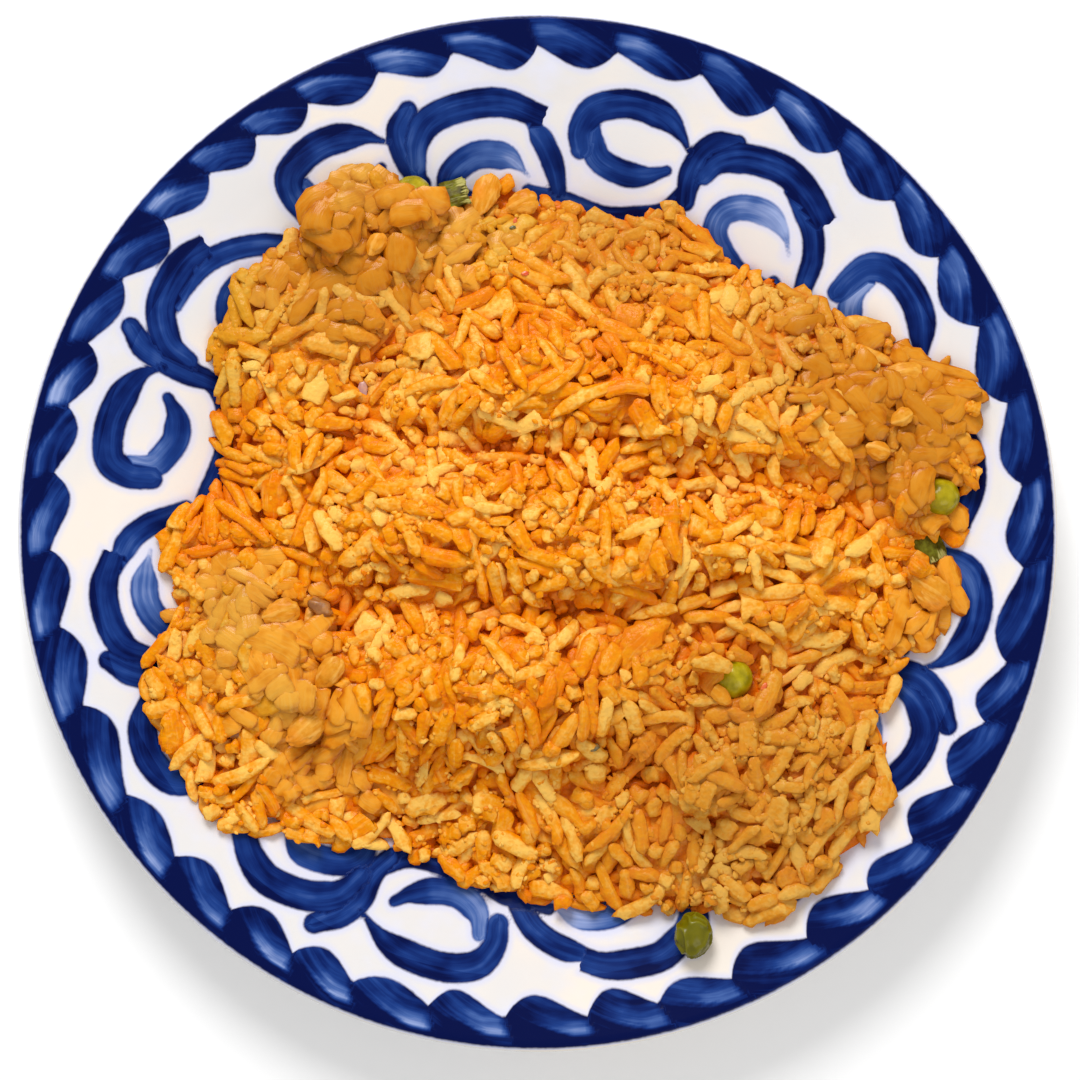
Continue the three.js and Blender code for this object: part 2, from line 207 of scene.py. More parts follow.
# The heap, as heights over a square grid that reaches a margin past it. Grains may overhang its edge, and
# stay a gap under the top of the whole dish's box.
FIELD_STEP_MM = 0.5
FIELD_MARGIN_MM = 6
LOOSE_DEPTH_MM = 8.0
LEAST_DEPTH_MM = 2.4
OVERHANG_MM = 1.8
CEILING_GAP_MM = 0.3
# Clumps of grains: cells of the grid that each size of clump spreads over, and its rise in mm
LUMPS = ((5, 0.55), (10, 0.75))
LUMPS_DROP_MM = 0.3
LUMPS_BETWEEN_MM = (-2.4, 0.9)
# Grains press into each other: an underside counts as this share of its depth, and its point that comes
# this many from the highest decides where the grain rests
SINK = 0.55
PRESSED = 6
# How freely a grain takes another tilt than the lowest one
TILT_CHANCE_MM = 1.4
# Grains are tested at this share of their half length, where they may stand out this far
END_SHARE = 0.86
END_SLACK_MM = 0.9
# Piling fills the heap to this far below its surface, and covering lays the last grains over it; a grain
# may lie this far over the surface, from least to most
BELOW_LIMIT_MM = 1.2
PILING_SLACK_MM = (-2.4, -0.4)
COVERING_SLACK_MM = (-0.8, 1.9)
# The sticky rice lies this deep under the grains' tops, from the moistest parts to the driest
STICKY_MM = (0.5, 3.4)
# The rice lies lower beside toppings
BESIDE_MM = 2.0
BESIDE_DROP_MM = 1.6

# Kinds of grain: share of the heap; half the length, width and thickness in mm, and how each varies; how
# blunt the ends are; how lumpy the grain is, and how far its points are off. Soft ones lie in their patches.
GRAIN_KINDS = {
    "long": {"share": 0.36, "half": (5.5, 1.75, 1.45), "vary": (0.18, 0.13, 0.10),
             "blunt": 5.5, "lump": 0.16, "rough": 0.12},
    "bent": {"share": 0.24, "half": (5.6, 1.65, 1.4), "vary": (0.20, 0.14, 0.10),
             "blunt": 5.0, "lump": 0.17, "rough": 0.12},
    "split": {"share": 0.16, "half": (4.9, 2.1, 1.4), "vary": (0.22, 0.18, 0.12),
              "blunt": 6.0, "lump": 0.26, "rough": 0.12},
    "broken": {"share": 0.11, "half": (2.8, 1.8, 1.4), "vary": (0.26, 0.16, 0.14),
               "blunt": 4.0, "lump": 0.3, "rough": 0.12},
    "clump": {"share": 0.13, "half": (4.4, 3.3, 1.8), "vary": (0.28, 0.22, 0.16),
              "blunt": 2.4, "lump": 0.42, "rough": 0.06},
    "soft": {"share": 0.0, "half": (2.9, 1.7, 1.5), "vary": (0.36, 0.26, 0.16),
             "blunt": 3.0, "lump": 0.4, "rough": 0.015},
}
KIND_NAMES = list(GRAIN_KINDS)
PILING_ROUNDS = 40
COVERING_ROUNDS = 60
DRAWN_EACH_ROUND = 2600
GRAIN_VARIANTS = 8
# How far the shading leans upwards, as light glows through cooked grains
GLOW_THROUGH = 0.75
# Soft grains are drawn larger than they are laid, so that they merge
MERGED = 1.6
# How much smoother the core is between them
SOFT_CALM = 0.8
# Sauce that grains took up, 0 to 1: mean and spread in the share of pale ones and in the others, what more
# is in the deep patches, and how much is in the core
PALE_GRAINS = 0.3
PALE_SAUCE = (0.2, 0.1)
USUAL_SAUCE = (0.58, 0.13)
DEEP_SAUCE = 0.16
CORE_SAUCE = 0.75
# The core's grid, and how far the core stays over the plate
CORE_STEPS = (340, 320)
CORE_MARGIN_MM = 0.35
# Crumbs: half the length, width and thickness, the mean and spread of their sizes' logarithm, and how deep
# they sink in as a share of half their thickness
CRUMB_SHAPE_MM = (1.3, 0.95, 0.7)
CRUMB_SIZES = (-0.38, 0.3)
CRUMB_SINK = 0.4
# Soft glossy grains lie mostly here: place and reach in mm
SOFT_PATCHES = (
    (-44, 66, 17), (-26, 68, 12), (86, 26, 19), (-66, -18, 12), (-58, -34, 13), (-50, -50, 12), (92, -14, 10),
)
# Other parts of the heap are duller and darker, partly as painted shade, more olive or redder
DULL_AND_SHADE_PATCHES = ((50, -62, 40), (20, 70, 22), (62, 44, 20), (-44, 60, 24), (84, 22, 18))
OLIVE_PATCHES = (
    (-73, 52, 13), (-80, 34, 12), (-82, 20, 9), (-12, 70, 11), (-42, 82, 8), (-70, -20, 11), (-60, -40, 7),
)
DEEP_PATCHES = ((-72, 10, 26), (-66, -58, 24), (20, 40, 30), (10, -14, 34))

# Creases between the mounds: depth and reach in mm, then the places they run through
CREASES = (
    (3.4, 5.0, ((-15.6, 19.2), (20.0, 20.0), (50.0, 13.5), (79.3, 7.6))),
    (4.2, 5.0, ((5.2, -17.8), (24.0, -16.5), (42.2, -13.2), (60.0, -13.0), (83.9, -15.5))),
    (3.0, 5.0, ((-24.9, 56.2), (-36.0, 42.0), (-41.1, 30.8), (-48.0, 7.6))),
)

# Toppings that grains half cover: node, where the cover lies from its middle, its reach and rise in mm
COVERED = (
    ("pea_whole", -5.0, 4.5, 4.5, 1.2),
    ("pea_right", -6.5, 0.0, 5.0, 2.0),
    ("pea_top", 1.0, -5.0, 5.5, 2.5),
    ("pea_upper_left", 3.0, -3.0, 7.0, 3.0),
    ("pea_in_crevice", -2.5, -2.0, 7.0, 3.0),
)

# Grains laid one by one over the edges of toppings: kind, place, direction in degrees, then half the length
# and half the width in mm
PLACED_GRAINS = (
    ("long", 39.3, -31.2, -8, 4.9, 1.9),
    ("split", 46.0, -29.4, -24, 4.0, 1.9),
    ("broken", 41.4, -38.0, -42, 3.2, 1.8),
    ("long", 52.4, -38.2, 62, 6.4, 2.3),
    ("broken", 47.6, -40.0, 10, 2.4, 1.6),
    ("soft", 88.0, 9.6, 70, 3.2, 1.9),
    ("soft", 91.4, 1.6, 20, 3.0, 1.8),
    ("soft", -33.4, 77.2, 10, 3.4, 2.3),
    ("soft", -24.6, 75.6, -20, 3.6, 2.2),
    ("soft", -29.4, 73.4, 5, 3.4, 2.0),
    ("soft", -51.4, 75.6, 35, 3.8, 2.3),
    ("soft", -50.6, 71.0, 70, 3.4, 2.2),
    ("long", 38.0, -54.8, 35, 5.0, 1.8),
    ("long", 42.6, -57.6, -25, 5.2, 1.8),
    ("bent", 41.8, -85.0, -80, 4.6, 1.8),
    ("long", 88.6, -9.4, -30, 4.6, 2.0),
)

# Half the thickness of a listed grain, as a share of half its width
PLACED_THICKNESS = 0.8

FRESH_PEA_WRINKLES = 0.15
PEA_NODES = ("pea_whole", "pea_wrinkled", "pea_right", "pea_top", "pea_upper_left", "pea_in_crevice")
CORN_NODES = tuple(sorted(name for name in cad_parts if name.startswith("corn_kernel")))
PEPPER_NODES = tuple(sorted(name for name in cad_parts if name.startswith("green_pepper")))

# Small bits that lie on the rice: kind, place and length in mm
LOOSE_BITS = (
    ("brown", -49.9, -18.3, 6.0),
    ("brown", -69.5, -46.7, 5.6),
    ("onion", -40.6, 32.6, 4.4),
    ("tomato", 51.5, -36.3, 2.0),
    ("tomato", -2.9, 58.5, 1.8),
    ("tomato", -22.6, 59.7, 1.8),
    ("tomato", -5.2, 72.0, 1.5),
    ("herb", 12.5, -50.2, 3.2),
    ("herb", -5.8, 70.2, 1.6),
    ("herb", -9.5, 66.2, 1.4),
)

# Camera: the photo looks almost straight down
LENS_MM = 100
SENSOR_MM = 36
PHOTO_SIZE_PX = 1080
PLATE_RADIUS_PX = 521.0
PLATE_CENTRE_PX = (537.5, 528.5)
CAMERA_ELEVATION = 87.6

# Floor and lights, in metres: each light's place and width
FLOOR_SIZE = 3.0
FLOOR_GAP = 0.0002
KEY_LIGHT = ((-0.16, 0.74, 0.76), 0.5)
FILL_LIGHT = ((0.45, -0.62, 0.85), 0.7)


def linear(red, green, blue):
    """A colour of 0 to 255 as it is seen, as the light that Blender works with."""
    seen = np.array((red, green, blue)) / 255
    light = np.where(seen <= 0.04045, seen / 12.92, ((seen + 0.055) / 1.055) ** 2.4)
    return (*map(float, light), 1.0)


def smooth_step(value, low, high):
    """0 below low, 1 above high, and smooth in between."""
    share = np.clip((value - low) / (high - low), 0, 1)
    return share * share * (3 - 2 * share)


# ---------------------------------------------------------------- properties


def colour_setting(name, description, red, green, blue):
    """A colour that a sidebar shows, given as 0 to 255 as it is seen."""
    return FloatVectorProperty(
        name=name, description=description, subtype="COLOR", size=4, min=0, max=1,
        default=linear(red, green, blue),
    )


class PlateSettings(bpy.types.PropertyGroup):
    """Sizes and colours of the painted plate."""

    turns: IntProperty(
        name="Steps in a wedge", description="Steps of each of the plate's wedges round its axis",
        default=27, min=4,
    )
    weave: FloatProperty(
        name="Paint spacing", description="Distance between the painted border's rings of points",
        default=0.8 * MM, unit="LENGTH",
    )
    white: colour_setting("Glaze", "Colour of the bare glaze", 223, 221, 220)
    blue: colour_setting("Cobalt", "Colour of the thick paint", 10, 34, 98)


class RiceSettings(bpy.types.PropertyGroup):
    """Sizes and colours of the loose rice."""

    most_grains: IntProperty(
        name="Most grains", description="Stops the heap at this many grains", default=5200, min=100
    )
    crumbs: IntProperty(
        name="Crumbs", description="Small broken bits between the grains", default=3200, min=0
    )
    depth: FloatProperty(
        name="Loose depth", description="How deep the loose grains lie over the packed core",
        default=LOOSE_DEPTH_MM * MM, unit="LENGTH",
    )
    seed: IntProperty(name="Seed", description="Which heap is drawn", default=7, min=0)
    pale: colour_setting("Pale grain", "Grain with little sauce", 244, 190, 88)
    middle: colour_setting("Sauced grain", "Grain with some sauce", 232, 143, 2)
    deep: colour_setting("Deep grain", "Grain soaked with sauce", 224, 117, 0)


class ToppingSettings(bpy.types.PropertyGroup):
    """Colours of the peas, corn and pepper."""

    pea: colour_setting("Pea", "Skin of a pea", 164, 146, 4)
    corn: colour_setting("Corn", "Soft kernel of corn", 212, 136, 28)
    pepper: colour_setting("Pepper", "Skin of the green pepper", 88, 78, 4)


class StageSettings(bpy.types.PropertyGroup):
    """Floor, light and camera."""

    key: FloatProperty(
        name="Key light", description="Soft light from the top of the photo", default=8.8, unit="POWER"
    )
    fill: FloatProperty(
        name="Fill light", description="Soft light from the lower right", default=2.4, unit="POWER"
    )
    sky: FloatProperty(name="Surroundings", description="Even light from all round", default=0.58)


# ---------------------------------------------------------------- shared makers


def new_piece(name, mesh, looks, nodes=()):
    """Adds a mesh with its materials as a piece of the dish that stands for some CAD nodes."""
    piece = bpy.data.objects.new(name, mesh)
    bpy.context.scene.collection.objects.link(piece)
    mesh.shade_smooth()
    for look in looks:
        mesh.materials.append(look)
    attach(piece, "root")
    if nodes:
        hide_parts(*nodes)


def mesh_from_bmesh(name, bm):
    """Turns a bmesh into a mesh and frees it."""
    mesh = bpy.data.meshes.new(name)
    bm.to_mesh(mesh)
    bm.free()
    return mesh


def mesh_from_arrays(name, points_mm, corners, sizes, **attributes):
    """A mesh of many small things at once; sizes holds each face's number of corners.

    Attributes hold one number, or one vector, for each point.
    """
    mesh = bpy.data.meshes.new(name)
    mesh.vertices.add(len(points_mm))
    mesh.vertices.foreach_set("co", (points_mm * MM).astype(np.float32).ravel())
    mesh.loops.add(len(corners))
    mesh.loops.foreach_set("vertex_index", corners.astype(np.int32))
    mesh.polygons.add(len(sizes))
    starts = np.concatenate(([0], np.cumsum(sizes)[:-1]))
    mesh.polygons.foreach_set("loop_start", starts.astype(np.int32))
    mesh.update(calc_edges=True)
    mesh.validate()
    store(mesh, **attributes)
    return mesh


def point_normals(mesh):
    """The direction out of a mesh at each of its points."""
    normals = np.zeros(len(mesh.vertices) * 3, dtype=np.float32)
    mesh.vertex_normals.foreach_get("vector", normals)
    return normals.reshape(-1, 3)


def face_lists(bm):
    """Corners of every face in one row, and each face's number of corners."""
    corners = np.array([vert.index for face in bm.faces for vert in face.verts])
    return corners, np.array([len(face.verts) for face in bm.faces])


def repeated_faces(corners, sizes, copies, points_each):
    """The same faces for every copy of a shape."""
    shift = np.arange(copies)[:, None] * points_each
    return (corners[None] + shift).ravel(), np.tile(sizes, copies)


def store(mesh, **attributes):
    """Stores one number, or one vector, for each point of a mesh under each name."""
    for label, values in attributes.items():
        values = np.asarray(values, dtype=np.float32)
        kind, key = ("FLOAT", "value") if values.ndim == 1 else ("FLOAT_VECTOR", "vector")
        mesh.attributes.new(label, kind, "POINT").data.foreach_set(key, values.ravel())


def points_of(bm):
    """Points of a bmesh in mm."""
    return np.array([vert.co for vert in bm.verts]) / MM


def move_points(bm, points_mm):
    """Moves the points of a bmesh to places in mm."""
    for vert, place in zip(bm.verts, points_mm * MM):
        vert.co = place


class Shader:
    """Builds a node material step by step; its patterns and colours are output sockets."""

    def __init__(self, name):
        self.material = bpy.data.materials.new(name)
        self.material.use_nodes = True
        self.tree = self.material.node_tree
        self.surface = self.tree.nodes["Principled BSDF"]

    def node(self, kind, **settings):
        made = self.tree.nodes.new(kind)
        for key, value in settings.items():
            setattr(made, key, value)
        return made

    def feed(self, socket, value):
        """Links a socket to an output, or sets its own value."""
        if isinstance(value, bpy.types.NodeSocket):
            self.tree.links.new(value, socket)
        else:
            socket.default_value = value

    def place(self):
        """Places on the piece, in metres."""
        return self.node("ShaderNodeTexCoord").outputs["Object"]

    def attribute(self, label, output="Fac"):
        return self.node("ShaderNodeAttribute", attribute_name=label).outputs[output]

    def noise(self, vector, scale, detail=2.0, roughness=0.5):
        """Noise with this many cells in each unit of the vector, which for places is a metre."""
        made = self.node("ShaderNodeTexNoise")
        self.feed(made.inputs["Vector"], vector)
        self.feed(made.inputs["Scale"], scale)
        self.feed(made.inputs["Detail"], detail)
        self.feed(made.inputs["Roughness"], roughness)
        return made.outputs["Fac"]

    def math(self, operation, *values, clamp=False):
        made = self.node("ShaderNodeMath", operation=operation, use_clamp=clamp)
        for socket, value in zip(made.inputs, values):
            self.feed(socket, value)
        return made.outputs[0]

    def scaled(self, vector, scale):
        made = self.node("ShaderNodeMapping")
        self.feed(made.inputs["Vector"], vector)
        self.feed(made.inputs["Scale"], scale)
        return made.outputs["Vector"]

    def band(self, value, low, high, to_low=0.0, to_high=1.0):
        """Runs smoothly from to_low to to_high as a value runs from low to high."""
        made = self.node("ShaderNodeMapRange", interpolation_type="SMOOTHSTEP")
        self.feed(made.inputs["Value"], value)
        for key, number in zip(("From Min", "From Max", "To Min", "To Max"), (low, high, to_low, to_high)):
            self.feed(made.inputs[key], number)
        return made.outputs["Result"]

    def shift(self, value, by, low, high, to_low, to_high, clamp=False):
        """A value plus to_low to to_high, as another value runs from low to high."""
        return self.math("ADD", value, self.band(by, low, high, to_low, to_high), clamp=clamp)

    def blend(self, share, first, second):
        made = self.node("ShaderNodeMix", data_type="RGBA")
        self.feed(made.inputs["Factor"], share)
        self.feed(made.inputs[6], first)
        self.feed(made.inputs[7], second)
        return made.outputs[2]

    def tint(self, colour, where, low, high, share, *seen):
        """A colour with up to a share of another one, as it is seen, as a value runs from low to high."""
        return self.blend(self.band(where, low, high, 0.0, share), colour, linear(*seen))

    def wash(self, colour, label, share, *seen):
        """A colour with a share of another one, as it is seen, where an attribute is 1."""
        return self.blend(self.math("MULTIPLY", self.attribute(label), share), colour, linear(*seen))

    def ramp(self, value, stops):
        made = self.node("ShaderNodeValToRGB")
        self.feed(made.inputs["Fac"], value)
        elements = made.color_ramp.elements
        while len(elements) < len(stops):
            elements.new(0.5)
        for element, (position, colour) in zip(elements, stops):
            element.position = position
            element.color = colour
        return made.outputs["Color"]

    def bump(self, height, distance_mm, strength, under=None):
        """Relief from a height, on top of other relief."""
        made = self.node("ShaderNodeBump")
        self.feed(made.inputs["Height"], height)
        self.feed(made.inputs["Distance"], distance_mm * MM)
        self.feed(made.inputs["Strength"], strength)
        if under is not None:
            self.feed(made.inputs["Normal"], under)
        return made.outputs["Normal"]

    def finish(self, **inputs):
        """Feeds the surface's inputs, named with underscores for spaces."""
        for label, value in inputs.items():
            self.feed(self.surface.inputs[label.replace("_", " ")], value)
        return self.material


# ---------------------------------------------------------------- plate


def bend(start, control, end, count=16):
    """Points of a curve from start to end that leans towards control."""
    share = np.linspace(0, 1, count)[:, None]
    start, control, end = map(np.array, (start, control, end))
    return (1 - share) ** 2 * start + 2 * share * (1 - share) * control + share**2 * end


def plate_section():
    """Underside, lip and upper side of the plate, each as points of distance from the axis and height."""
    lip_r = PLATE_RADIUS_MM - LIP_THICKNESS_MM / 2
    lip_z = PLATE_HEIGHT_MM - LIP_THICKNESS_MM / 2
    foot_r = FOOT_RADIUS_MM - FOOT_WIDTH_MM
    under = np.vstack((
        (0, FOOT_DEPTH_MM),
        (foot_r - 2, FOOT_DEPTH_MM),
        bend((foot_r - 0.4, 0.5), (foot_r, 0), (foot_r + 0.6, 0), 4),
        bend((FOOT_RADIUS_MM - 0.6, 0), (FOOT_RADIUS_MM, 0), (FOOT_RADIUS_MM + 0.4, 0.6), 4),
        bend((FOOT_RADIUS_MM + 1.5, 2.2), (FOOT_RADIUS_MM + 14, 4.6), (lip_r - 16, 11.6)),
    ))
    turns = np.radians(np.linspace(-60, 108, 12))
    lip = np.column_stack((lip_r + LIP_ROUND_MM * np.cos(turns), lip_z + LIP_ROUND_MM * np.sin(turns)))
    upper = np.vstack((
        lip[-1],
        (lip_r - 18, 15.9),
        bend((lip_r - 18, 15.9), (WELL_RADIUS_MM + 22, 12.2), (WELL_RADIUS_MM + 14, 8.6)),
        bend((WELL_RADIUS_MM + 14, 8.6), (WELL_RADIUS_MM + 8, WELL_TOP_MM), (WELL_RADIUS_MM, WELL_TOP_MM)),
        (0, WELL_TOP_MM),
    ))
    return under, lip, upper


def evenly(points, step):
    """The same line with points a step apart."""
    lengths = np.concatenate(([0], np.cumsum(np.hypot(*np.diff(points, axis=0).T))))
    places = np.linspace(0, lengths[-1], max(int(lengths[-1] / step), 2) + 1)
    return np.column_stack([np.interp(places, lengths, column) for column in points.T])


UNDER, LIP, UPPER = plate_section()


def plate_top(radius):
    """Height of the plate's upper side at a distance from its axis."""
    line = UPPER[::-1]
    return np.interp(radius, line[:, 0], line[:, 1])


class Brushwork:
    """Paint laid stroke by stroke over points seen from above."""

    def __init__(self, points):
        self.points = points
        count = len(points)
        self.ink = np.full(count, UNPAINTED)
        self.brim = np.zeros(count)
        self.thin = np.zeros(count)
        self.run = np.zeros((count, 3))

    def lay(self, chosen, edge, thin, run):
        """Lays one stroke over the chosen points; edge is mm inside its outline."""
        wet = edge > 0
        nearer = edge > self.ink[chosen]
        take = chosen[wet | nearer]
        picked = wet | nearer
        self.ink[chosen] = np.maximum(self.ink[chosen], edge)
        self.brim[take] = edge[picked]
        self.thin[take] = thin[picked]
        self.run[take] = run[picked]


def on_plate(turn, radius):
    """A place given by degrees clockwise from the top and mm from the axis, seen from above."""
    angle = np.radians(turn)
    return np.column_stack((radius * np.sin(angle), radius * np.cos(angle)))


def smooth_line(path, samples=7):
    """A smooth line through the points of a path."""
    path = np.asarray(path, dtype=float)
    ends = np.vstack((2 * path[0] - path[1], path, 2 * path[-1] - path[-2]))
    share = np.linspace(0, 1, samples, endpoint=False)[:, None]
    spans = []
    for a, b, c, d in zip(ends, ends[1:], ends[2:], ends[3:]):
        spans.append(
            0.5 * (2 * b + (c - a) * share + (2 * a - 5 * b + 4 * c - d) * share**2
                   + (3 * b - a - 3 * c + d) * share**3)
        )
    return np.vstack((*spans, path[-1:]))


def lay_stroke(work, line, width, start, end, thin, flat, number):
    """Lays one brush stroke along a line, narrower at its start and end."""
    margin = width / 2 + 3
    low, high = line.min(0) - margin, line.max(0) + margin
    chosen = np.flatnonzero(np.all((work.points > low) & (work.points < high), axis=1))
    places = work.points[chosen]
    steps = np.diff(line, axis=0)
    lengths = np.hypot(*steps.T)
    before = np.concatenate(([0], np.cumsum(lengths)))
    offset = places[:, None] - line[None, :-1]
    share = np.einsum("psk,sk->ps", offset, steps) / lengths**2
    foot = offset - np.clip(share, 0, 1)[..., None] * steps
    distance = np.hypot(foot[..., 0], foot[..., 1])
    nearest = distance.argmin(1)
    rows = np.arange(len(chosen))
    away = distance[rows, nearest]
    raw = share[rows, nearest]
    along = before[nearest] + np.clip(raw, 0, 1) * lengths[nearest]
    span = steps[nearest]
    at = offset[rows, nearest]
    side = np.sign(span[:, 0] * at[:, 1] - span[:, 1] * at[:, 0])
    done = along / before[-1]
    half = width / 2
    half = half * (start + (1 - start) * smooth_step(done, 0, SWELLS_OVER))
    half = half * (end + (1 - end) * smooth_step(1 - done, 0, NARROWS_OVER))
    edge = (half - away) * np.where(half < HAIR_MM, half / HAIR_MM, 1)
    if flat:
        last = nearest == len(steps) - 1
        past = np.where(last, (raw - 1) * lengths[nearest], -9)
        edge = np.where(past > 0, np.minimum(edge, -past), edge)
    # The brush starts wet and thin and leaves thicker paint along its edges
    wash = thin * (0.4 + 1.3 * np.clip(1 - done * 1.4, 0, 1)) + 0.12 * (1 - away / (half + 0.1))
    run = np.column_stack((along, side * away, np.full(len(along), number * 7.3)))
    work.lay(chosen, edge, wash, run)


def paint_scrolls(work, rng):
    """The border's eight scrolls, each laid stroke by stroke."""
    number = 100
    for start, own_paths in SCROLLS:
        for label, (width, first, last, thin, flat, path) in SCROLL_STROKES.items():
            path = np.array(own_paths.get(label, path))
            path = path + rng.normal(0, 1, path.shape) * HAND_SHAKE
            line = smooth_line(on_plate(start + path[:, 0], path[:, 1]))
            number += 1
            lay_stroke(
                work, line, width * rng.uniform(0.95, 1.07), first, last,
                thin * rng.uniform(0.6, 1.3), flat, number,
            )


def paint_petals(work, rng):
    """The rim's border of overlapping petals: one dab each, light where the brush came down."""
    notches = np.concatenate(([0], np.cumsum(PETAL_TURNS)))
    notches *= 360 / notches[-1]
    x, y = work.points.T
    radius = np.hypot(x, y)
    inward = PETAL_OUTER_MM - radius
    chosen = np.flatnonzero((inward > -PETAL_BLEED_MM) & (inward < PETAL_DEPTH_MM + PETAL_SPARE_MM))
    inward, radius = inward[chosen], radius[chosen]
    turn = np.degrees(np.arctan2(x[chosen], y[chosen])) % 360
    count = len(PETAL_TURNS)
    lean = PETAL_SLANT * 360 / count * np.clip(1 - inward / PETAL_NOTCH_MM, 0, 1)
    slid = (turn + lean) % 360
    which = np.clip(np.searchsorted(notches, slid, side="right") - 1, 0, count - 1)
    width = notches[which + 1] - notches[which]
    share = (slid - notches[which]) / width
    lobe = np.sin(np.pi * share ** rng.uniform(1.2, 1.75, count)[which]) ** 0.75
    depths = rng.uniform(0.88, 1.06, count)[which] * PETAL_DEPTH_MM
    reach = PETAL_NOTCH_MM + (depths - PETAL_NOTCH_MM) * lobe
    edge = np.minimum(reach - inward, inward + 0.2)
    arc = np.radians(width) * radius
    seam = np.minimum(share, 1 - share) * arc

    # The brush came down along a slanting crest, and its streaks fade from there into the petal
    deep = inward / depths
    crest = rng.uniform(0.10, 0.22, count)[which] + 0.85 * np.clip(share - 0.28, 0, 1) ** 1.4
    below = deep - crest
    glow = rng.uniform(0.35, 1.1, count)[which]
    fade = rng.uniform(0.22, 0.42, count)[which]
    streak = smooth_step(below, -0.04, 0.06) * np.exp(-((np.maximum(below, 0) / fade) ** 2))
    streak = streak * smooth_step(share, 0.0, 0.12) * (1 - smooth_step(share, 0.25, 0.9))
    second = np.exp(-((below - 0.30) / 0.07) ** 2) * smooth_step(share, 0.1, 0.4)
    second = second * (1 - smooth_step(share, 0.5, 0.9))
    hem = np.exp(-((reach - inward) / 1.6)) * smooth_step(share, 0.25, 0.6)
    hem = hem * rng.uniform(0, 0.4, count)[which]
    # Paint is thicker over the crest and thinner on the rolled lip
    dark = smooth_step(-below, -0.02, 0.10) * 0.16
    lip = np.exp(-np.maximum(inward, 0) / 0.7) * 0.14
    thin = 0.06 + 0.8 * glow * streak + 0.12 * glow * second + hem * 0.5 - dark + lip
    slope = np.arctan(1.6 * np.clip(share - 0.25, 0, 1))
    past = share * arc
    run = np.column_stack((
        past * np.cos(slope) + inward * np.sin(slope),
        below * depths,
        which * 5.1,
    ))
    work.lay(chosen, edge, thin, run)
    work.brim[chosen] = np.where(edge > 0, np.minimum(edge, seam + 0.25), edge)


def glaze_material(look):
    """White tin glaze with cobalt brushwork under it; attributes say where the paint lies."""
    shader = Shader("painted_glaze")
    place = shader.place()
    ink = shader.attribute("ink")
    brim = shader.attribute("brim")
    run = shader.attribute("run", "Vector")
    ragged = shader.math("MULTIPLY_ADD", shader.noise(place, 700, 3.0), 2 * RAGGED_MM, -RAGGED_MM)
    edge = shader.math("ADD", ink, ragged)
    painted = shader.band(edge, -0.3, 0.45)

    hairs = shader.noise(shader.scaled(run, (0.05, 0.6, 1.0)), 1.0, 3.0, 0.5)
    fine = shader.noise(shader.scaled(run, (0.10, 4.0, 1.0)), 1.0, 2.0)
    pool = shader.noise(place, 110, 2.0)
    tone = shader.attribute("thin")
    tone = shader.shift(tone, hairs, 0.34, 0.72, -0.08, 0.17)
    tone = shader.shift(tone, fine, 0.3, 0.75, -0.015, 0.03)
    tone = shader.shift(tone, pool, 0.3, 0.7, -0.12, 0.12)
    tone = shader.shift(tone, brim, 0.0, 0.9, -0.12, 0.0)
    blue = shader.ramp(tone, (
        (0.0, linear(2, 13, 66)),
        (0.16, look.blue),
        (0.36, linear(26, 58, 128)),
        (0.62, linear(68, 98, 162)),
        (1.0, linear(150, 168, 214)),
    ))

    clouds = shader.noise(place, 26, 2.0)
    wisps = shader.noise(place, 60, 3.0, 0.6)
    white = shader.tint(look.white, clouds, 0.42, 0.7, 1, 236, 227, 216)
    white = shader.tint(white, wisps, 0.5, 0.75, 1, 222, 223, 236)
    halo = shader.band(edge, -1.9, -0.1, 0.0, 0.75)
    white = shader.blend(halo, white, linear(210, 213, 238))

    colour = shader.blend(painted, white, blue)
    height = shader.node("ShaderNodeSeparateXYZ")
    shader.feed(height.inputs[0], place)
    bare = shader.math("LESS_THAN", height.outputs["Z"], BARE_FOOT_MM * MM)
    colour = shader.blend(bare, colour, linear(214, 190, 158))

    swell = shader.noise(place, 45, 2.0)
    relief = shader.bump(swell, 0.35, 0.35)
    relief = shader.bump(painted, 0.05, 0.5, relief)
    relief = shader.bump(hairs, 0.05, 0.35, relief)
    return shader.finish(
        Base_Color=colour, Roughness=0.15, IOR=1.5, Specular_IOR_Level=0.07, Normal=relief,
    )


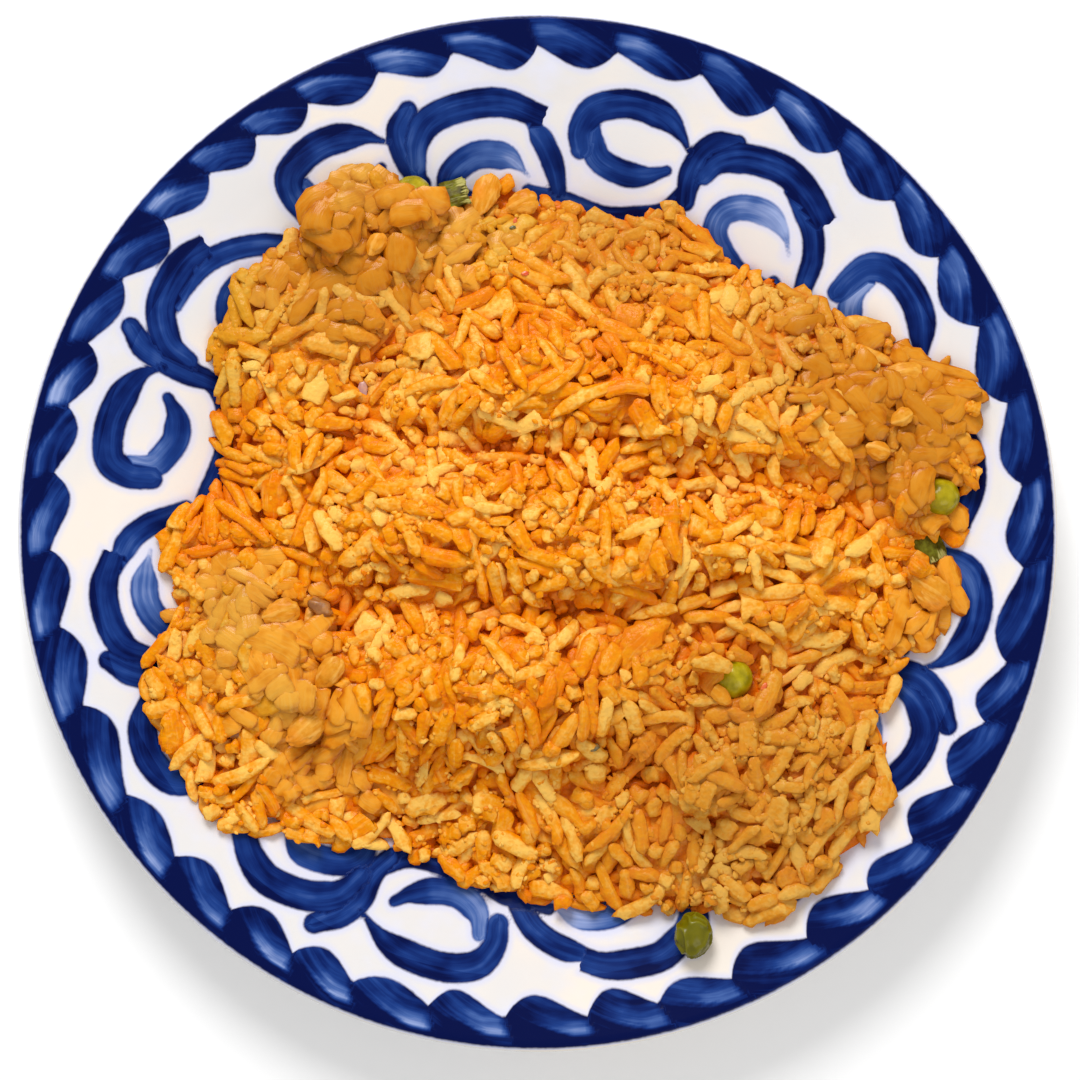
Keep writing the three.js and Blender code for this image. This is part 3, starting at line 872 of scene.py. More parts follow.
def make_plate_mesh(look):
    """Spins the plate's section, then stores on its upper side where the brush went."""
    border = evenly(UPPER[UPPER[:, 0] > PAINTED_FROM_MM], look.weave / MM)
    well = evenly(np.vstack((border[-1], (0, WELL_TOP_MM))), WELL_STEP_MM)[1:]
    section = np.vstack((evenly(UNDER, UNDER_STEP_MM), LIP[:-1], border, well))
    bm = bmesh.new()
    line = [bm.verts.new((r * MM, 0, z * MM)) for r, z in section]
    edges = [bm.edges.new(pair) for pair in zip(line, line[1:])]
    wedge = math.tau / 2**PLATE_DOUBLINGS
    bmesh.ops.spin(
        bm, geom=line + edges, cent=(0, 0, 0), axis=UP, dvec=(0, 0, 0), angle=wedge,
        steps=look.turns, use_merge=False, use_normal_flip=False, use_duplicate=False,
    )
    for doubling in range(PLATE_DOUBLINGS):
        copied = bmesh.ops.duplicate(bm, geom=[*bm.verts, *bm.edges, *bm.faces])["geom"]
        fresh = [item for item in copied if isinstance(item, bmesh.types.BMVert)]
        turn = Matrix.Rotation(wedge * 2**doubling, 3, "Z")
        bmesh.ops.rotate(bm, verts=fresh, cent=(0, 0, 0), matrix=turn)
    bmesh.ops.remove_doubles(bm, verts=bm.verts, dist=SEAM_GAP)
    bmesh.ops.recalc_face_normals(bm, faces=bm.faces)
    points = points_of(bm)
    mesh = mesh_from_bmesh("plate_painted", bm)

    rng = np.random.default_rng(3)
    radius = np.hypot(points[:, 0], points[:, 1])
    upper = points[:, 2] > plate_top(radius) - 0.6
    upper &= radius > PAINTED_FROM_MM
    work = Brushwork(points[upper, :2])
    paint_scrolls(work, rng)
    paint_petals(work, rng)
    for label in ("ink", "brim", "thin", "run"):
        painted = getattr(work, label)
        everywhere = np.full((len(points), *painted.shape[1:]), UNPAINTED if label == "ink" else 0.0)
        everywhere[upper] = painted
        store(mesh, **{label: everywhere})
    return mesh


# ---------------------------------------------------------------- heap


def spread(grid, reach, passes=2):
    """A grid blurred over reach cells each way."""
    for _ in range(passes):
        for axis in (0, 1):
            padded = np.pad(grid, [(reach + 1, reach) if a == axis else (0, 0) for a in (0, 1)], mode="edge")
            total = np.cumsum(padded, axis=axis)
            size = grid.shape[axis]
            far = np.take(total, np.arange(2 * reach + 1, 2 * reach + 1 + size), axis=axis)
            near = np.take(total, np.arange(0, size), axis=axis)
            grid = (far - near) / (2 * reach + 1)
    return grid


class HeapField:
    """Heights over a square grid, in mm: what is there now, and how high the rice may reach."""

    def __init__(self, loose_depth):
        low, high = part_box("rice_heap")
        self.low = np.array((low.x, low.y)) / MM - FIELD_MARGIN_MM
        size = np.array((high.x, high.y)) / MM + FIELD_MARGIN_MM - self.low
        self.shape = tuple(np.ceil(size / FIELD_STEP_MM).astype(int))
        rows, columns = np.indices(self.shape)
        self.x = self.low[0] + (rows + 0.5) * FIELD_STEP_MM
        self.y = self.low[1] + (columns + 0.5) * FIELD_STEP_MM
        self.plate = plate_top(np.hypot(self.x, self.y))

        toppings = np.full(self.shape, np.nan)
        for name in (*PEA_NODES, *CORN_NODES, *PEPPER_NODES):
            toppings = np.fmax(toppings, self.cast(name))
        heap = self.cast("rice_heap")
        self.ceiling = CAD_BOX[1][2] / MM - CEILING_GAP_MM
        covered = ~np.isnan(heap)
        clear = covered & (spread((~np.isnan(toppings)).astype(float), 2, 1) == 0)
        weight = spread(clear.astype(float), 4)
        depth = spread(np.where(clear, heap - self.plate, 0), 4) / np.maximum(weight, 1e-3)
        self.inside = spread(covered.astype(float), 1, 1) > 0.45
        near = int(OVERHANG_MM / FIELD_STEP_MM)
        self.reach = spread(self.inside.astype(float), near, 1) > 0.02
        depth = np.maximum(depth + self.lumps() - self.creases(), LEAST_DEPTH_MM)
        beside = spread((~np.isnan(toppings)).astype(float), int(BESIDE_MM / FIELD_STEP_MM), 1) > 0
        self.limit = np.where(self.reach, self.plate + depth - BESIDE_DROP_MM * beside, self.plate)
        self.cover_toppings()
        loose = np.maximum(self.limit - self.plate - loose_depth, 0)
        self.core = self.plate + np.where(self.inside, loose, 0)
        self.top = np.fmax(self.core, toppings)
        self.toppings = ~np.isnan(toppings)
        self.mean = None

    def lumps(self):
        """Clumps of grains: rises and hollows a few grains wide."""
        rng = np.random.default_rng(4)
        total = np.zeros(self.shape)
        for reach, rise in LUMPS:
            waves = spread(rng.normal(0, 1, self.shape), reach, 3)
            total += waves / waves.std() * rise
        return np.clip(total - LUMPS_DROP_MM, *LUMPS_BETWEEN_MM)

    def creases(self):
        """How far the creases between the mounds cut into the rice."""
        total = np.zeros(self.shape)
        for cut, reach, path in CREASES:
            away = np.full(self.shape, 99.0)
            line = np.array(path)
            for start, step in zip(line, np.diff(line, axis=0)):
                share = ((self.x - start[0]) * step[0] + (self.y - start[1]) * step[1]) / (step @ step)
                share = np.clip(share, 0, 1)
                off = np.hypot(self.x - start[0] - share * step[0], self.y - start[1] - share * step[1])
                away = np.minimum(away, off)
            total += cut * np.exp(-((away / reach) ** 2))
        return total

    def cover_toppings(self):
        """Lets grains rise over one side of the toppings that are half hidden."""
        for node, dx, dy, reach, rise in COVERED:
            low, high = (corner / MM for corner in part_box(node))
            middle = (low + high) / 2
            away = np.hypot(self.x - middle.x - dx, self.y - middle.y - dy) / reach
            cover = high.z + rise * (1 - away**2)
            self.limit = np.where((away < 1) & self.reach, np.maximum(self.limit, cover), self.limit)

    def cast(self, name):
        """Heights of a CAD node seen from above."""
        bm = bmesh.new()
        bm.from_mesh(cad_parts[name].data)
        tree = BVHTree.FromBMesh(bm)
        bm.free()
        low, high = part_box(name)
        heights = np.full(self.shape, np.nan)
        sky = high.z + 0.01
        first = self.cell(low.x / MM, low.y / MM)
        last = self.cell(high.x / MM, high.y / MM)
        for i in range(first[0], last[0] + 1):
            for j in range(first[1], last[1] + 1):
                hit = tree.ray_cast(Vector((self.x[i, j] * MM, self.y[i, j] * MM, sky)), DOWN)[0]
                if hit:
                    heights[i, j] = hit.z / MM
        return heights

    def sunk(self, points):
        """How far points lie under the rice's mean surface near them; this sets the painted shade in hollows.
        """
        if self.mean is None:
            near, broad = spread(self.top, 5, 2), spread(self.top, 18, 2)
            self.mean = near + 0.45 * np.maximum(broad - near, 0)
        return self.mean[self.cell(points[:, 0], points[:, 1])] - points[:, 2]

    def cell(self, *place):
        """Row and column of the grid under a place, or under many."""
        return tuple(
            np.clip(np.asarray((value - low) / FIELD_STEP_MM).astype(int), 0, size - 1)
            for value, low, size in zip(place, self.low, self.shape)
        )


def ellipse_samples(along, across):
    """Places over a grain's outline as shares of its half length and half width, and its height there."""
    u, v = np.meshgrid(np.linspace(-0.96, 0.96, along), np.linspace(-0.9, 0.9, across), indexing="ij")
    height = 1 - np.abs(u) ** 2.6 - v**2
    keep = height > 0.02
    return u[keep], v[keep], np.sqrt(height[keep])


CONTACT = ellipse_samples(9, 5)
COVER = ellipse_samples(25, 9)
TILTS = np.radians(np.array((-50, -36, -25, -16, -8, 0, 8, 16, 25, 36, 50)))


def patches_share(x, y, patches):
    """1 inside round patches, each a place and a reach, falling to 0 outside them."""
    return np.max([
        np.exp(-(((x - middle_x) ** 2 + (y - middle_y) ** 2) / reach**2) ** 1.5)
        for middle_x, middle_y, reach in patches
    ], axis=0)


def draw_grains(field, count, rng, lack):
    """Candidate grains over the places that most lack rice."""
    chance = lack.ravel() / lack.sum()
    picked = rng.choice(lack.size, count, p=chance)
    x = field.x.ravel()[picked] + rng.uniform(-FIELD_STEP_MM / 2, FIELD_STEP_MM / 2, count)
    y = field.y.ravel()[picked] + rng.uniform(-FIELD_STEP_MM / 2, FIELD_STEP_MM / 2, count)
    softness = patches_share(x, y, SOFT_PATCHES)
    shares = np.cumsum([numbers["share"] for numbers in GRAIN_KINDS.values()])
    kind = np.searchsorted(shares, rng.random(count) * shares[-1] * 0.999)
    kind = np.where(rng.random(count) < softness * 0.95, KIND_NAMES.index("soft"), kind)
    half = np.array([numbers["half"] for numbers in GRAIN_KINDS.values()])[kind]
    vary = np.array([numbers["vary"] for numbers in GRAIN_KINDS.values()])[kind]
    half = half * np.exp(rng.normal(0, 1, half.shape) * vary)
    azimuth = rng.uniform(0, math.pi, count)
    return {"x": x, "y": y, "kind": kind, "half": half, "azimuth": azimuth}


def rest_grains(field, grains, rng):
    """Lowest height and tilt at which each grain rests on what lies under it."""
    u, v, s = CONTACT
    half = grains["half"][:, None, None, :]
    cos_t, sin_t = np.cos(TILTS)[None, :, None], np.sin(TILTS)[None, :, None]
    cos_a = np.cos(grains["azimuth"])[:, None, None]
    sin_a = np.sin(grains["azimuth"])[:, None, None]
    forward = u * half[..., 0] * cos_t
    sideways = v * half[..., 1]
    x = grains["x"][:, None, None] + forward * cos_a - sideways * sin_a
    y = grains["y"][:, None, None] + forward * sin_a + sideways * cos_a
    under = field.top[field.cell(x, y)]
    touch = under - u * half[..., 0] * sin_t + SINK * s * half[..., 2]
    centre = np.partition(touch, -PRESSED, axis=2)[..., -PRESSED]
    best = (centre + rng.uniform(0, TILT_CHANCE_MM, centre.shape)).argmin(axis=1)
    rows = np.arange(len(best))
    grains["z"] = centre[rows, best]
    grains["tilt"] = TILTS[best]
    return grains


def fits(field, grains, slack):
    """Which grains stay under the heap's surface and within its reach."""
    x, y, z = grains["x"], grains["y"], grains["z"]
    length, thick = grains["half"][:, 0], grains["half"][:, 2]
    flat = np.cos(grains["tilt"]) * length * END_SHARE
    rise = np.sin(grains["tilt"]) * length * END_SHARE
    ok = z + thick * 0.6 < field.limit[field.cell(x, y)] + slack
    ok &= z + np.abs(rise) + thick < field.ceiling
    for end in (-1, 1):
        ex = x + end * flat * np.cos(grains["azimuth"])
        ey = y + end * flat * np.sin(grains["azimuth"])
        cell = field.cell(ex, ey)
        ok &= z + end * rise + thick * 0.5 < field.limit[cell] + slack + END_SLACK_MM
        ok &= field.reach[cell]
    return ok


def raise_field(field, grains, chosen, taken):
    """Adds one grain's upper side to the field, unless its place was taken in this round."""
    u, v, s = COVER
    length, width, thick = grains["half"][chosen]
    tilt, azimuth = grains["tilt"][chosen], grains["azimuth"][chosen]
    forward = u * length * math.cos(tilt)
    sideways = v * width
    x = grains["x"][chosen] + forward * math.cos(azimuth) - sideways * math.sin(azimuth)
    y = grains["y"][chosen] + forward * math.sin(azimuth) + sideways * math.cos(azimuth)
    cell = field.cell(x, y)
    if taken[cell].any():
        return False
    taken[cell] = True
    surface = grains["z"][chosen] + u * length * math.sin(tilt) + 0.9 * s * thick
    np.maximum.at(field.top, cell, surface)
    return True


def heap_grains(field, most, seed):
    """Drops grains one after another until the heap has its shape; returns them all."""
    rng = np.random.default_rng(seed)
    kept = []
    total = 0
    for step in range(PILING_ROUNDS + COVERING_ROUNDS):
        if step < PILING_ROUNDS:
            lack = np.clip(field.limit - BELOW_LIMIT_MM - field.top, 0, 6) * field.inside
            slack = PILING_SLACK_MM
        else:
            near = np.minimum(spread(field.top, 4, 2), field.limit)
            lack = (0.02 + np.clip(near - 0.3 - field.top, 0, 3) ** 1.5) * field.inside
            slack = COVERING_SLACK_MM
        if lack.sum() < 1 or total >= most:
            break
        grains = rest_grains(field, draw_grains(field, DRAWN_EACH_ROUND, rng, lack), rng)
        good = np.flatnonzero(fits(field, grains, rng.uniform(*slack, len(grains["x"]))))
        depth = grains["z"][good] - field.limit[field.cell(grains["x"][good], grains["y"][good])]
        taken = np.zeros(field.shape, dtype=bool)
        order = np.argsort(depth - 0.35 * grains["half"][good, 0])
        chosen = [k for k in good[order] if raise_field(field, grains, k, taken)]
        total += len(chosen)
        kept.append({key: values[chosen] for key, values in grains.items()})
    kept.append(lay_placed(field, rng))
    return {key: np.concatenate([part[key] for part in kept]) for key in kept[0]}


def lay_placed(field, rng):
    """Rests the listed grains on the heap and on the edges of its toppings."""
    kind, x, y, direction, length, width = zip(*PLACED_GRAINS)
    half = np.column_stack((length, width, np.array(width) * PLACED_THICKNESS))
    grains = {
        "x": np.array(x), "y": np.array(y), "kind": np.array([KIND_NAMES.index(name) for name in kind]),
        "half": half, "azimuth": np.radians(direction),
    }
    grains = rest_grains(field, grains, rng)
    for k in range(len(x)):
        raise_field(field, grains, k, np.zeros(field.shape, dtype=bool))
    return grains


def grain_shape(kind, variant):
    """Points and faces of one grain of half sizes 1, pointing along X."""
    bm = bmesh.new()
    if kind == "clump":
        bmesh.ops.create_icosphere(bm, subdivisions=3, radius=1.0)
    else:
        bmesh.ops.create_uvsphere(bm, u_segments=8, v_segments=8, radius=1.0)
    points = np.array([vert.co for vert in bm.verts])[:, [2, 0, 1]]
    faces = face_lists(bm)
    bm.free()
    x, y, z = points.T
    order = KIND_NAMES.index(kind)
    rng = np.random.default_rng(100 * order + variant)
    along = np.sign(x) * np.abs(x) ** 0.68 * np.where(np.abs(x) > 0.99, 1.04, 1)
    girth = np.sqrt(np.maximum(y**2 + z**2, 1e-9))
    full = np.sqrt(np.maximum(1 - np.abs(along) ** GRAIN_KINDS[kind]["blunt"], 0))
    y, z = y / girth * full, z / girth * full
    if kind in ("long", "bent"):
        taper = 1 - 0.25 * smooth_step(along, 0.1, 1.0) * rng.uniform(0, 1)
        y, z = y * taper, z * taper
        z = z - 0.25 * np.exp(-((y - 0.2) / 0.25) ** 2) * (z > 0) * (variant % 2)
    if kind == "bent":
        y = y + rng.uniform(0.3, 0.9) * (along**2 - 0.4)
    if kind == "split":
        opened = smooth_step(along, -0.2, 1.0)
        y = y * (1 + 0.35 * opened)
        groove = 0.45 * np.exp(-((y - 0.1) / 0.3) ** 2) * (z > 0)
        z = z * (1 - 0.25 * opened) - groove * (0.3 + 0.7 * opened)
    if kind in ("broken", "split", "soft"):
        cut = rng.uniform(0.35, 0.75) + (0.2 if kind == "soft" else 0)
        cut = cut + rng.uniform(-0.3, 0.3) * y + rng.uniform(-0.3, 0.3) * z
        along = np.where(along > cut, cut + (along - cut) * 0.2, along)
    lump = GRAIN_KINDS[kind]["lump"]
    shift = Vector((variant * 5.3, order * 9.1, 0.4))
    shape = np.column_stack((along, y, z))
    for row in shape:
        swell = noise.noise(Vector(row) * 1.5 + shift) + 0.7 * noise.noise(Vector(row) * 3.3 + shift)
        if kind == "clump":
            lobes = 1 - 2 * abs(noise.noise(Vector(row) * 2.9 - shift))
            swell += 0.85 * lobes - 0.4
        row[1:] *= 1 + swell * lump
        row[0] *= 1 + noise.noise(Vector(row) * 1.1 - shift) * lump * 0.6
    return shape, faces


def grain_frames(grains, roll):
    """Directions along, across and out of each grain."""
    tilt, azimuth = grains["tilt"], grains["azimuth"]
    along = np.column_stack((np.cos(azimuth) * np.cos(tilt), np.sin(azimuth) * np.cos(tilt), np.sin(tilt)))
    side = np.column_stack((-np.sin(azimuth), np.cos(azimuth), np.zeros(len(tilt))))
    out = np.cross(along, side)
    cos_r, sin_r = np.cos(roll)[:, None], np.sin(roll)[:, None]
    return along, cos_r * side + sin_r * out, cos_r * out - sin_r * side


def stains(x, y, rng, per):
    """How much sauce grains took up, how dull they are, partly as painted shade, and how olive, 0 to 1, for
    each of their points.
    """
    count = len(x)
    pale = rng.random(count) < PALE_GRAINS
    sauce = np.where(pale, rng.normal(*PALE_SAUCE, count), rng.normal(*USUAL_SAUCE, count))
    sauce = sauce + DEEP_SAUCE * patches_share(x, y, DEEP_PATCHES)
    return {
        "sauce": np.repeat(np.clip(sauce, 0, 1), per),
        "dull": np.repeat(patches_share(x, y, DULL_AND_SHADE_PATCHES), per),
        "olive": np.repeat(patches_share(x, y, OLIVE_PATCHES), per),
    }


def grain_mesh(name, kind, grains, field, seed):
    """Joins all grains of one kind into one mesh, each bent and lumpy in its own way."""
    rng = np.random.default_rng(seed)
    shapes = [grain_shape(kind, variant) for variant in range(GRAIN_VARIANTS)]
    base = np.stack([shape for shape, _ in shapes])
    count = len(grains["x"])
    local = base[rng.integers(0, len(base), count)].copy()
    local[..., :2] *= np.where(rng.random((count, 1, 1)) < 0.5, -1, 1)
    waves = rng.uniform(0, math.tau, (3, count, 1))
    ripple = 1 + 0.07 * np.sin(3.3 * local[..., 0] + waves[0]) + 0.05 * np.sin(7.1 * local[..., 0] + waves[1])
    if kind != "soft":
        ends = local[..., 0] ** 2 > 0.7
        local[..., 0] += rng.normal(0, 0.02, ripple.shape) + 0.05 * rng.normal(0, 1, ripple.shape) * ends
    local[..., 1:] *= ripple[..., None] * rng.normal(1, GRAIN_KINDS[kind]["rough"], (*ripple.shape, 1))
    local = local * grains["half"][:, None, :] * (MERGED if kind == "soft" else 1)
    own_place = np.broadcast_to(waves[2][..., None] * 9, (*local.shape[:2], 1))
    grain = np.concatenate((local[..., :2], own_place), axis=2)
    arch = local[..., 0] ** 2 / grains["half"][:, :1] - 0.4 * grains["half"][:, :1]
    local[..., 1] += rng.normal(0, 0.06, (count, 1)) * arch
    local[..., 2] += rng.normal(-0.03, 0.06, (count, 1)) * arch
    along, side, out = grain_frames(grains, rng.normal(0, 0.5, count))
    points = np.column_stack((grains["x"], grains["y"], grains["z"]))[:, None, :]
    points = points + local[..., :1] * along[:, None] + local[..., 1:2] * side[:, None]
    points = points + local[..., 2:] * out[:, None]
    floor = plate_top(np.hypot(points[..., 0], points[..., 1])) + 0.15
    points[..., 2] = np.clip(points[..., 2], floor, field.ceiling)
    points = points.reshape(-1, 3)
    per = base.shape[1]
    x, y = grains["x"], grains["y"]
    return mesh_from_arrays(
        name, points, *repeated_faces(*shapes[0][1], count, per),
        grain=grain.reshape(-1, 3), sunk=field.sunk(points), **stains(x, y, rng, per),
    )


def soften(mesh, glow=GLOW_THROUGH):
    """Marks how far each side is turned up, for painted light on tops, and leans the shading upwards, as
    light glows through cooked grains.
    """
    normals = point_normals(mesh)
    store(mesh, crown=normals[:, 2])
    normals[:, 2] += glow * smooth_step(normals[:, 2], -0.9, 0.1)
    normals /= np.linalg.norm(normals, axis=1)[:, None]
    mesh.normals_split_custom_set_from_vertices(normals)


def crumb_mesh(name, field, count, seed):
    """Small broken bits that stick to the grains and fill the gaps between them."""
    rng = np.random.default_rng(seed)
    bm = bmesh.new()
    bmesh.ops.create_icosphere(bm, subdivisions=1, radius=1.0)
    base = np.array([vert.co for vert in bm.verts])
    faces = face_lists(bm)
    bm.free()
    clusters = spread(rng.normal(0, 1, field.shape), 5, 3)
    chance = np.clip(clusters / clusters.std() + 0.5, 0.05, 2.5) * (field.inside & ~field.toppings)
    picked = rng.choice(chance.size, count, p=(chance / chance.sum()).ravel())
    x = field.x.ravel()[picked] + rng.uniform(-FIELD_STEP_MM / 2, FIELD_STEP_MM / 2, count)
    y = field.y.ravel()[picked] + rng.uniform(-FIELD_STEP_MM / 2, FIELD_STEP_MM / 2, count)
    size = np.exp(rng.normal(*CRUMB_SIZES, (count, 1))) * CRUMB_SHAPE_MM
    z = field.top.ravel()[picked] - CRUMB_SINK * size[:, 2]
    local = base[None] * size[:, None, :] * rng.uniform(0.7, 1.2, (count, len(base), 1))
    spin = rng.uniform(0, math.tau, (count, 1))
    points = np.stack((
        x[:, None] + local[..., 0] * np.cos(spin) - local[..., 1] * np.sin(spin),
        y[:, None] + local[..., 0] * np.sin(spin) + local[..., 1] * np.cos(spin),
        np.minimum(z[:, None] + local[..., 2], field.ceiling),
    ), axis=-1).reshape(-1, 3)
    per = len(base)
    return mesh_from_arrays(
        name, points, *repeated_faces(*faces, count, per),
        grain=points, sunk=field.sunk(points), **stains(x, y, rng, per),
    )


def core_mesh(field):
    """The sticky rice under and between the loose grains, as a closed body."""
    low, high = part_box("rice_heap")
    bm = bmesh.new()
    bmesh.ops.create_grid(bm, x_segments=CORE_STEPS[0], y_segments=CORE_STEPS[1], size=1.0)
    bmesh.ops.scale(bm, vec=((high.x - low.x) / 2, (high.y - low.y) / 2, 1), verts=bm.verts)
    bmesh.ops.translate(bm, vec=((high.x + low.x) / 2, (high.y + low.y) / 2, 0), verts=bm.verts)
    points = points_of(bm)
    cell = field.cell(points[:, 0], points[:, 1])
    waves = spread(np.random.default_rng(6).normal(0, 1, field.shape), 5, 3)
    dry = smooth_step(waves / waves.std(), -1.1, 1.1)
    dry = dry * (1 - SOFT_CALM * patches_share(field.x, field.y, SOFT_PATCHES))
    paste = spread(field.top, 2, 2) - STICKY_MM[0] - dry * (STICKY_MM[1] - STICKY_MM[0])
    paste = np.minimum(paste, field.limit)
    # Lumps the size of a grain break up the sticky rice between the loose grains
    calm = 1 - SOFT_CALM * patches_share(points[:, 0], points[:, 1], SOFT_PATCHES)
    lumps = np.array([
        0.7 * noise.noise(Vector(point) * 0.4) + 0.9 * noise.noise(Vector(point) * 0.75) for point in points
    ])
    well_inside = spread(field.inside.astype(float), 4, 1)[cell] > 0.98
    points[:, 2] = np.maximum(paste[cell] + 0.9 * calm * lumps, field.plate[cell] + CORE_MARGIN_MM)
    move_points(bm, points)
    bm.verts.ensure_lookup_table()
    outside = [vert for vert, keep in zip(bm.verts, well_inside) if not keep]
    bmesh.ops.delete(bm, geom=outside, context="VERTS")
    rim = [edge for edge in bm.edges if edge.is_boundary]
    made = bmesh.ops.extrude_edge_only(bm, edges=rim)["geom"]
    for vert in (item for item in made if isinstance(item, bmesh.types.BMVert)):
        vert.co.z = (plate_top(math.hypot(vert.co.x, vert.co.y) / MM) + 0.2) * MM
    bmesh.ops.holes_fill(bm, edges=[edge for edge in bm.edges if edge.is_boundary], sides=0)
    bmesh.ops.recalc_face_normals(bm, faces=bm.faces)
    points = points_of(bm)
    mesh = mesh_from_bmesh("rice_core", bm)
    x, y, _ = points.T
    store(
        mesh, sauce=np.full(len(points), CORE_SAUCE), dull=patches_share(x, y, DULL_AND_SHADE_PATCHES),
        olive=patches_share(x, y, OLIVE_PATCHES), grain=points, sunk=field.sunk(points),
    )
    return mesh


def soft_material():
    """Soft, waxy lump: smooth and glossy, with pale threads under the skin, and painted light and shade."""
    shader = Shader("rice_soft_lump")
    place = shader.place()
    cloud = shader.noise(place, 1000 / 4, 2.0)
    threads = shader.noise(shader.scaled(shader.attribute("grain", "Vector"), (0.22, 1.4, 1.0)), 1.0, 2.0)
    # Painted light: the top of a lump is lighter and its sides darker
    tone = shader.shift(cloud, shader.attribute("crown"), 0.0, 0.95, -0.22, 0.14)
    colour = shader.ramp(tone, (
        (0.24, linear(180, 86, 0)), (0.46, linear(214, 126, 6)), (0.68, linear(230, 152, 40)),
    ))
    colour = shader.tint(colour, threads, 0.46, 0.72, 0.4, 228, 168, 72)
    # Duller, darker patches: partly painted shade
    colour = shader.wash(colour, "dull", 0.6, 168, 98, 8)
    colour = shader.wash(colour, "olive", 0.4, 206, 166, 72)
    # Painted shade: darker where points lie under the rice's mean surface, in gaps and hollows
    colour = shader.tint(colour, shader.attribute("sunk"), 0.2, 3.6, 0.7, 166, 80, 0)
    return shader.finish(
        Base_Color=colour, Roughness=0.2, IOR=1.42, Specular_IOR_Level=0.16,
        Normal=shader.bump(threads, 0.35, 0.5),
    )


def rice_material(look):
    """Cooked grain: pale knobbly body, sauce in patches that run on from grain to grain, with painted light
    and shade.
    """
    shader = Shader("rice_grain")
    place = shader.place()
    grain = shader.attribute("grain", "Vector")
    zones = shader.noise(place, 1000 / 28, 2.0)
    patches = shader.noise(place, 1000 / 7.5, 3.0, 0.6)
    mottle = shader.noise(place, 1000 / 1.9, 3.0, 0.68)
    knobs = shader.noise(place, 1000 / 1.25, 1.0, 0.5)
    taken = shader.shift(shader.attribute("sauce"), zones, 0.36, 0.64, -0.14, 0.14)
    taken = shader.shift(taken, patches, 0.3, 0.7, -0.24, 0.24)
    # Painted light and shade: paler on the knobs of the bump, deeper orange in the hollows between them
    taken = shader.shift(taken, knobs, 0.35, 0.65, 0.12, -0.12)
    # Painted light: the tops of grains are paler and their sides deeper orange, as if light glowed through
    # them
    taken = shader.shift(taken, shader.attribute("crown"), 0.1, 0.95, 0.26, -0.16)
    taken = shader.shift(taken, mottle, 0.3, 0.7, -0.1, 0.1, clamp=True)
    colour = shader.ramp(taken, (
        (0.0, look.pale),
        (0.26, between(look.pale, look.middle, 0.62)),
        (0.5, look.middle),
        (1.0, look.deep),
    ))
    streaks = shader.noise(shader.scaled(grain, (0.16, 1.3, 1.0)), 1.0, 2.0)
    colour = shader.tint(colour, streaks, 0.5, 0.75, 0.2, 250, 208, 118)
    # Duller, darker patches: partly painted shade
    colour = shader.wash(colour, "dull", 0.6, 186, 128, 46)
    colour = shader.wash(colour, "olive", 0.6, 188, 140, 36)
    # Painted shade: deeper, darker orange where points lie under the rice's mean surface, in gaps and hollows
    colour = shader.tint(colour, shader.attribute("sunk"), 0.2, 3.2, 0.9, 220, 104, 0)
    flecks = shader.noise(place, 1000 / 2.4, 1.0)
    colour = shader.tint(colour, flecks, 0.78, 0.82, 0.6, 214, 62, 8)
    relief = shader.bump(mottle, 0.3, 0.5)
    relief = shader.bump(knobs, 0.55, 0.6, relief)
    return shader.finish(
        Base_Color=colour, Roughness=0.22, IOR=1.42, Specular_IOR_Level=0.1, Normal=relief,
    )


def between(first, second, share):
    """A colour between two others."""
    return tuple(a + (b - a) * share for a, b in zip(first, second))


# ---------------------------------------------------------------- toppings


def refined_copy(node, cuts, rounding):
    """A finer, rounder copy of a CAD node, fitted back to the node's box."""
    bm = bmesh.new()
    bm.from_mesh(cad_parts[node].data)
    bmesh.ops.remove_doubles(bm, verts=bm.verts, dist=1e-6)
    bmesh.ops.subdivide_edges(bm, edges=bm.edges, cuts=cuts, use_grid_fill=True)
    for _ in range(rounding):
        bmesh.ops.smooth_vert(
            bm, verts=bm.verts, factor=0.5, use_axis_x=True, use_axis_y=True, use_axis_z=True
        )
    points = points_of(bm)
    low, high = (np.array(corner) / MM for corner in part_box(node))
    near, far = points.min(0), points.max(0)
    points = low + (points - near) / (far - near) * (high - low)
    return bm, points


def own_frame(points):
    """Points measured along a shape's own long, middle and short directions."""
    centred = points - points.mean(0)
    return centred @ np.linalg.svd(centred, full_matrices=False)[2].T


def pea_mesh(node, wrinkled):
    """A pea with soft dents, and with a net of raised wrinkles where it has dried."""
    low, high = (np.array(corner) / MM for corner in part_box(node))
    bm = bmesh.new()
    bmesh.ops.create_icosphere(bm, subdivisions=5, radius=1.0)
    points = np.array([vert.co for vert in bm.verts])
    shift = Vector(low) * 0.1
    ridges = []
    for row in points:
        at = Vector(row)
        soft = noise.noise(at * 1.3 + shift)
        hollow = min(abs(noise.noise(at * 1.4 + shift * 2)) * 3.6, 1)
        fine = noise.noise(at * 6.5 + shift)
        row *= 1 - 0.04 * (soft + 0.6) - wrinkled * (0.13 * hollow + 0.015 * fine)
        ridges.append(wrinkled * max(1 - hollow * 1.6, 0))
    points = (low + high) / 2 + points * (high - low) / 2
    move_points(bm, points)
    mesh = mesh_from_bmesh(node + "_skin", bm)
    store(mesh, ridge=ridges, dry=np.full(len(points), wrinkled))
    return mesh


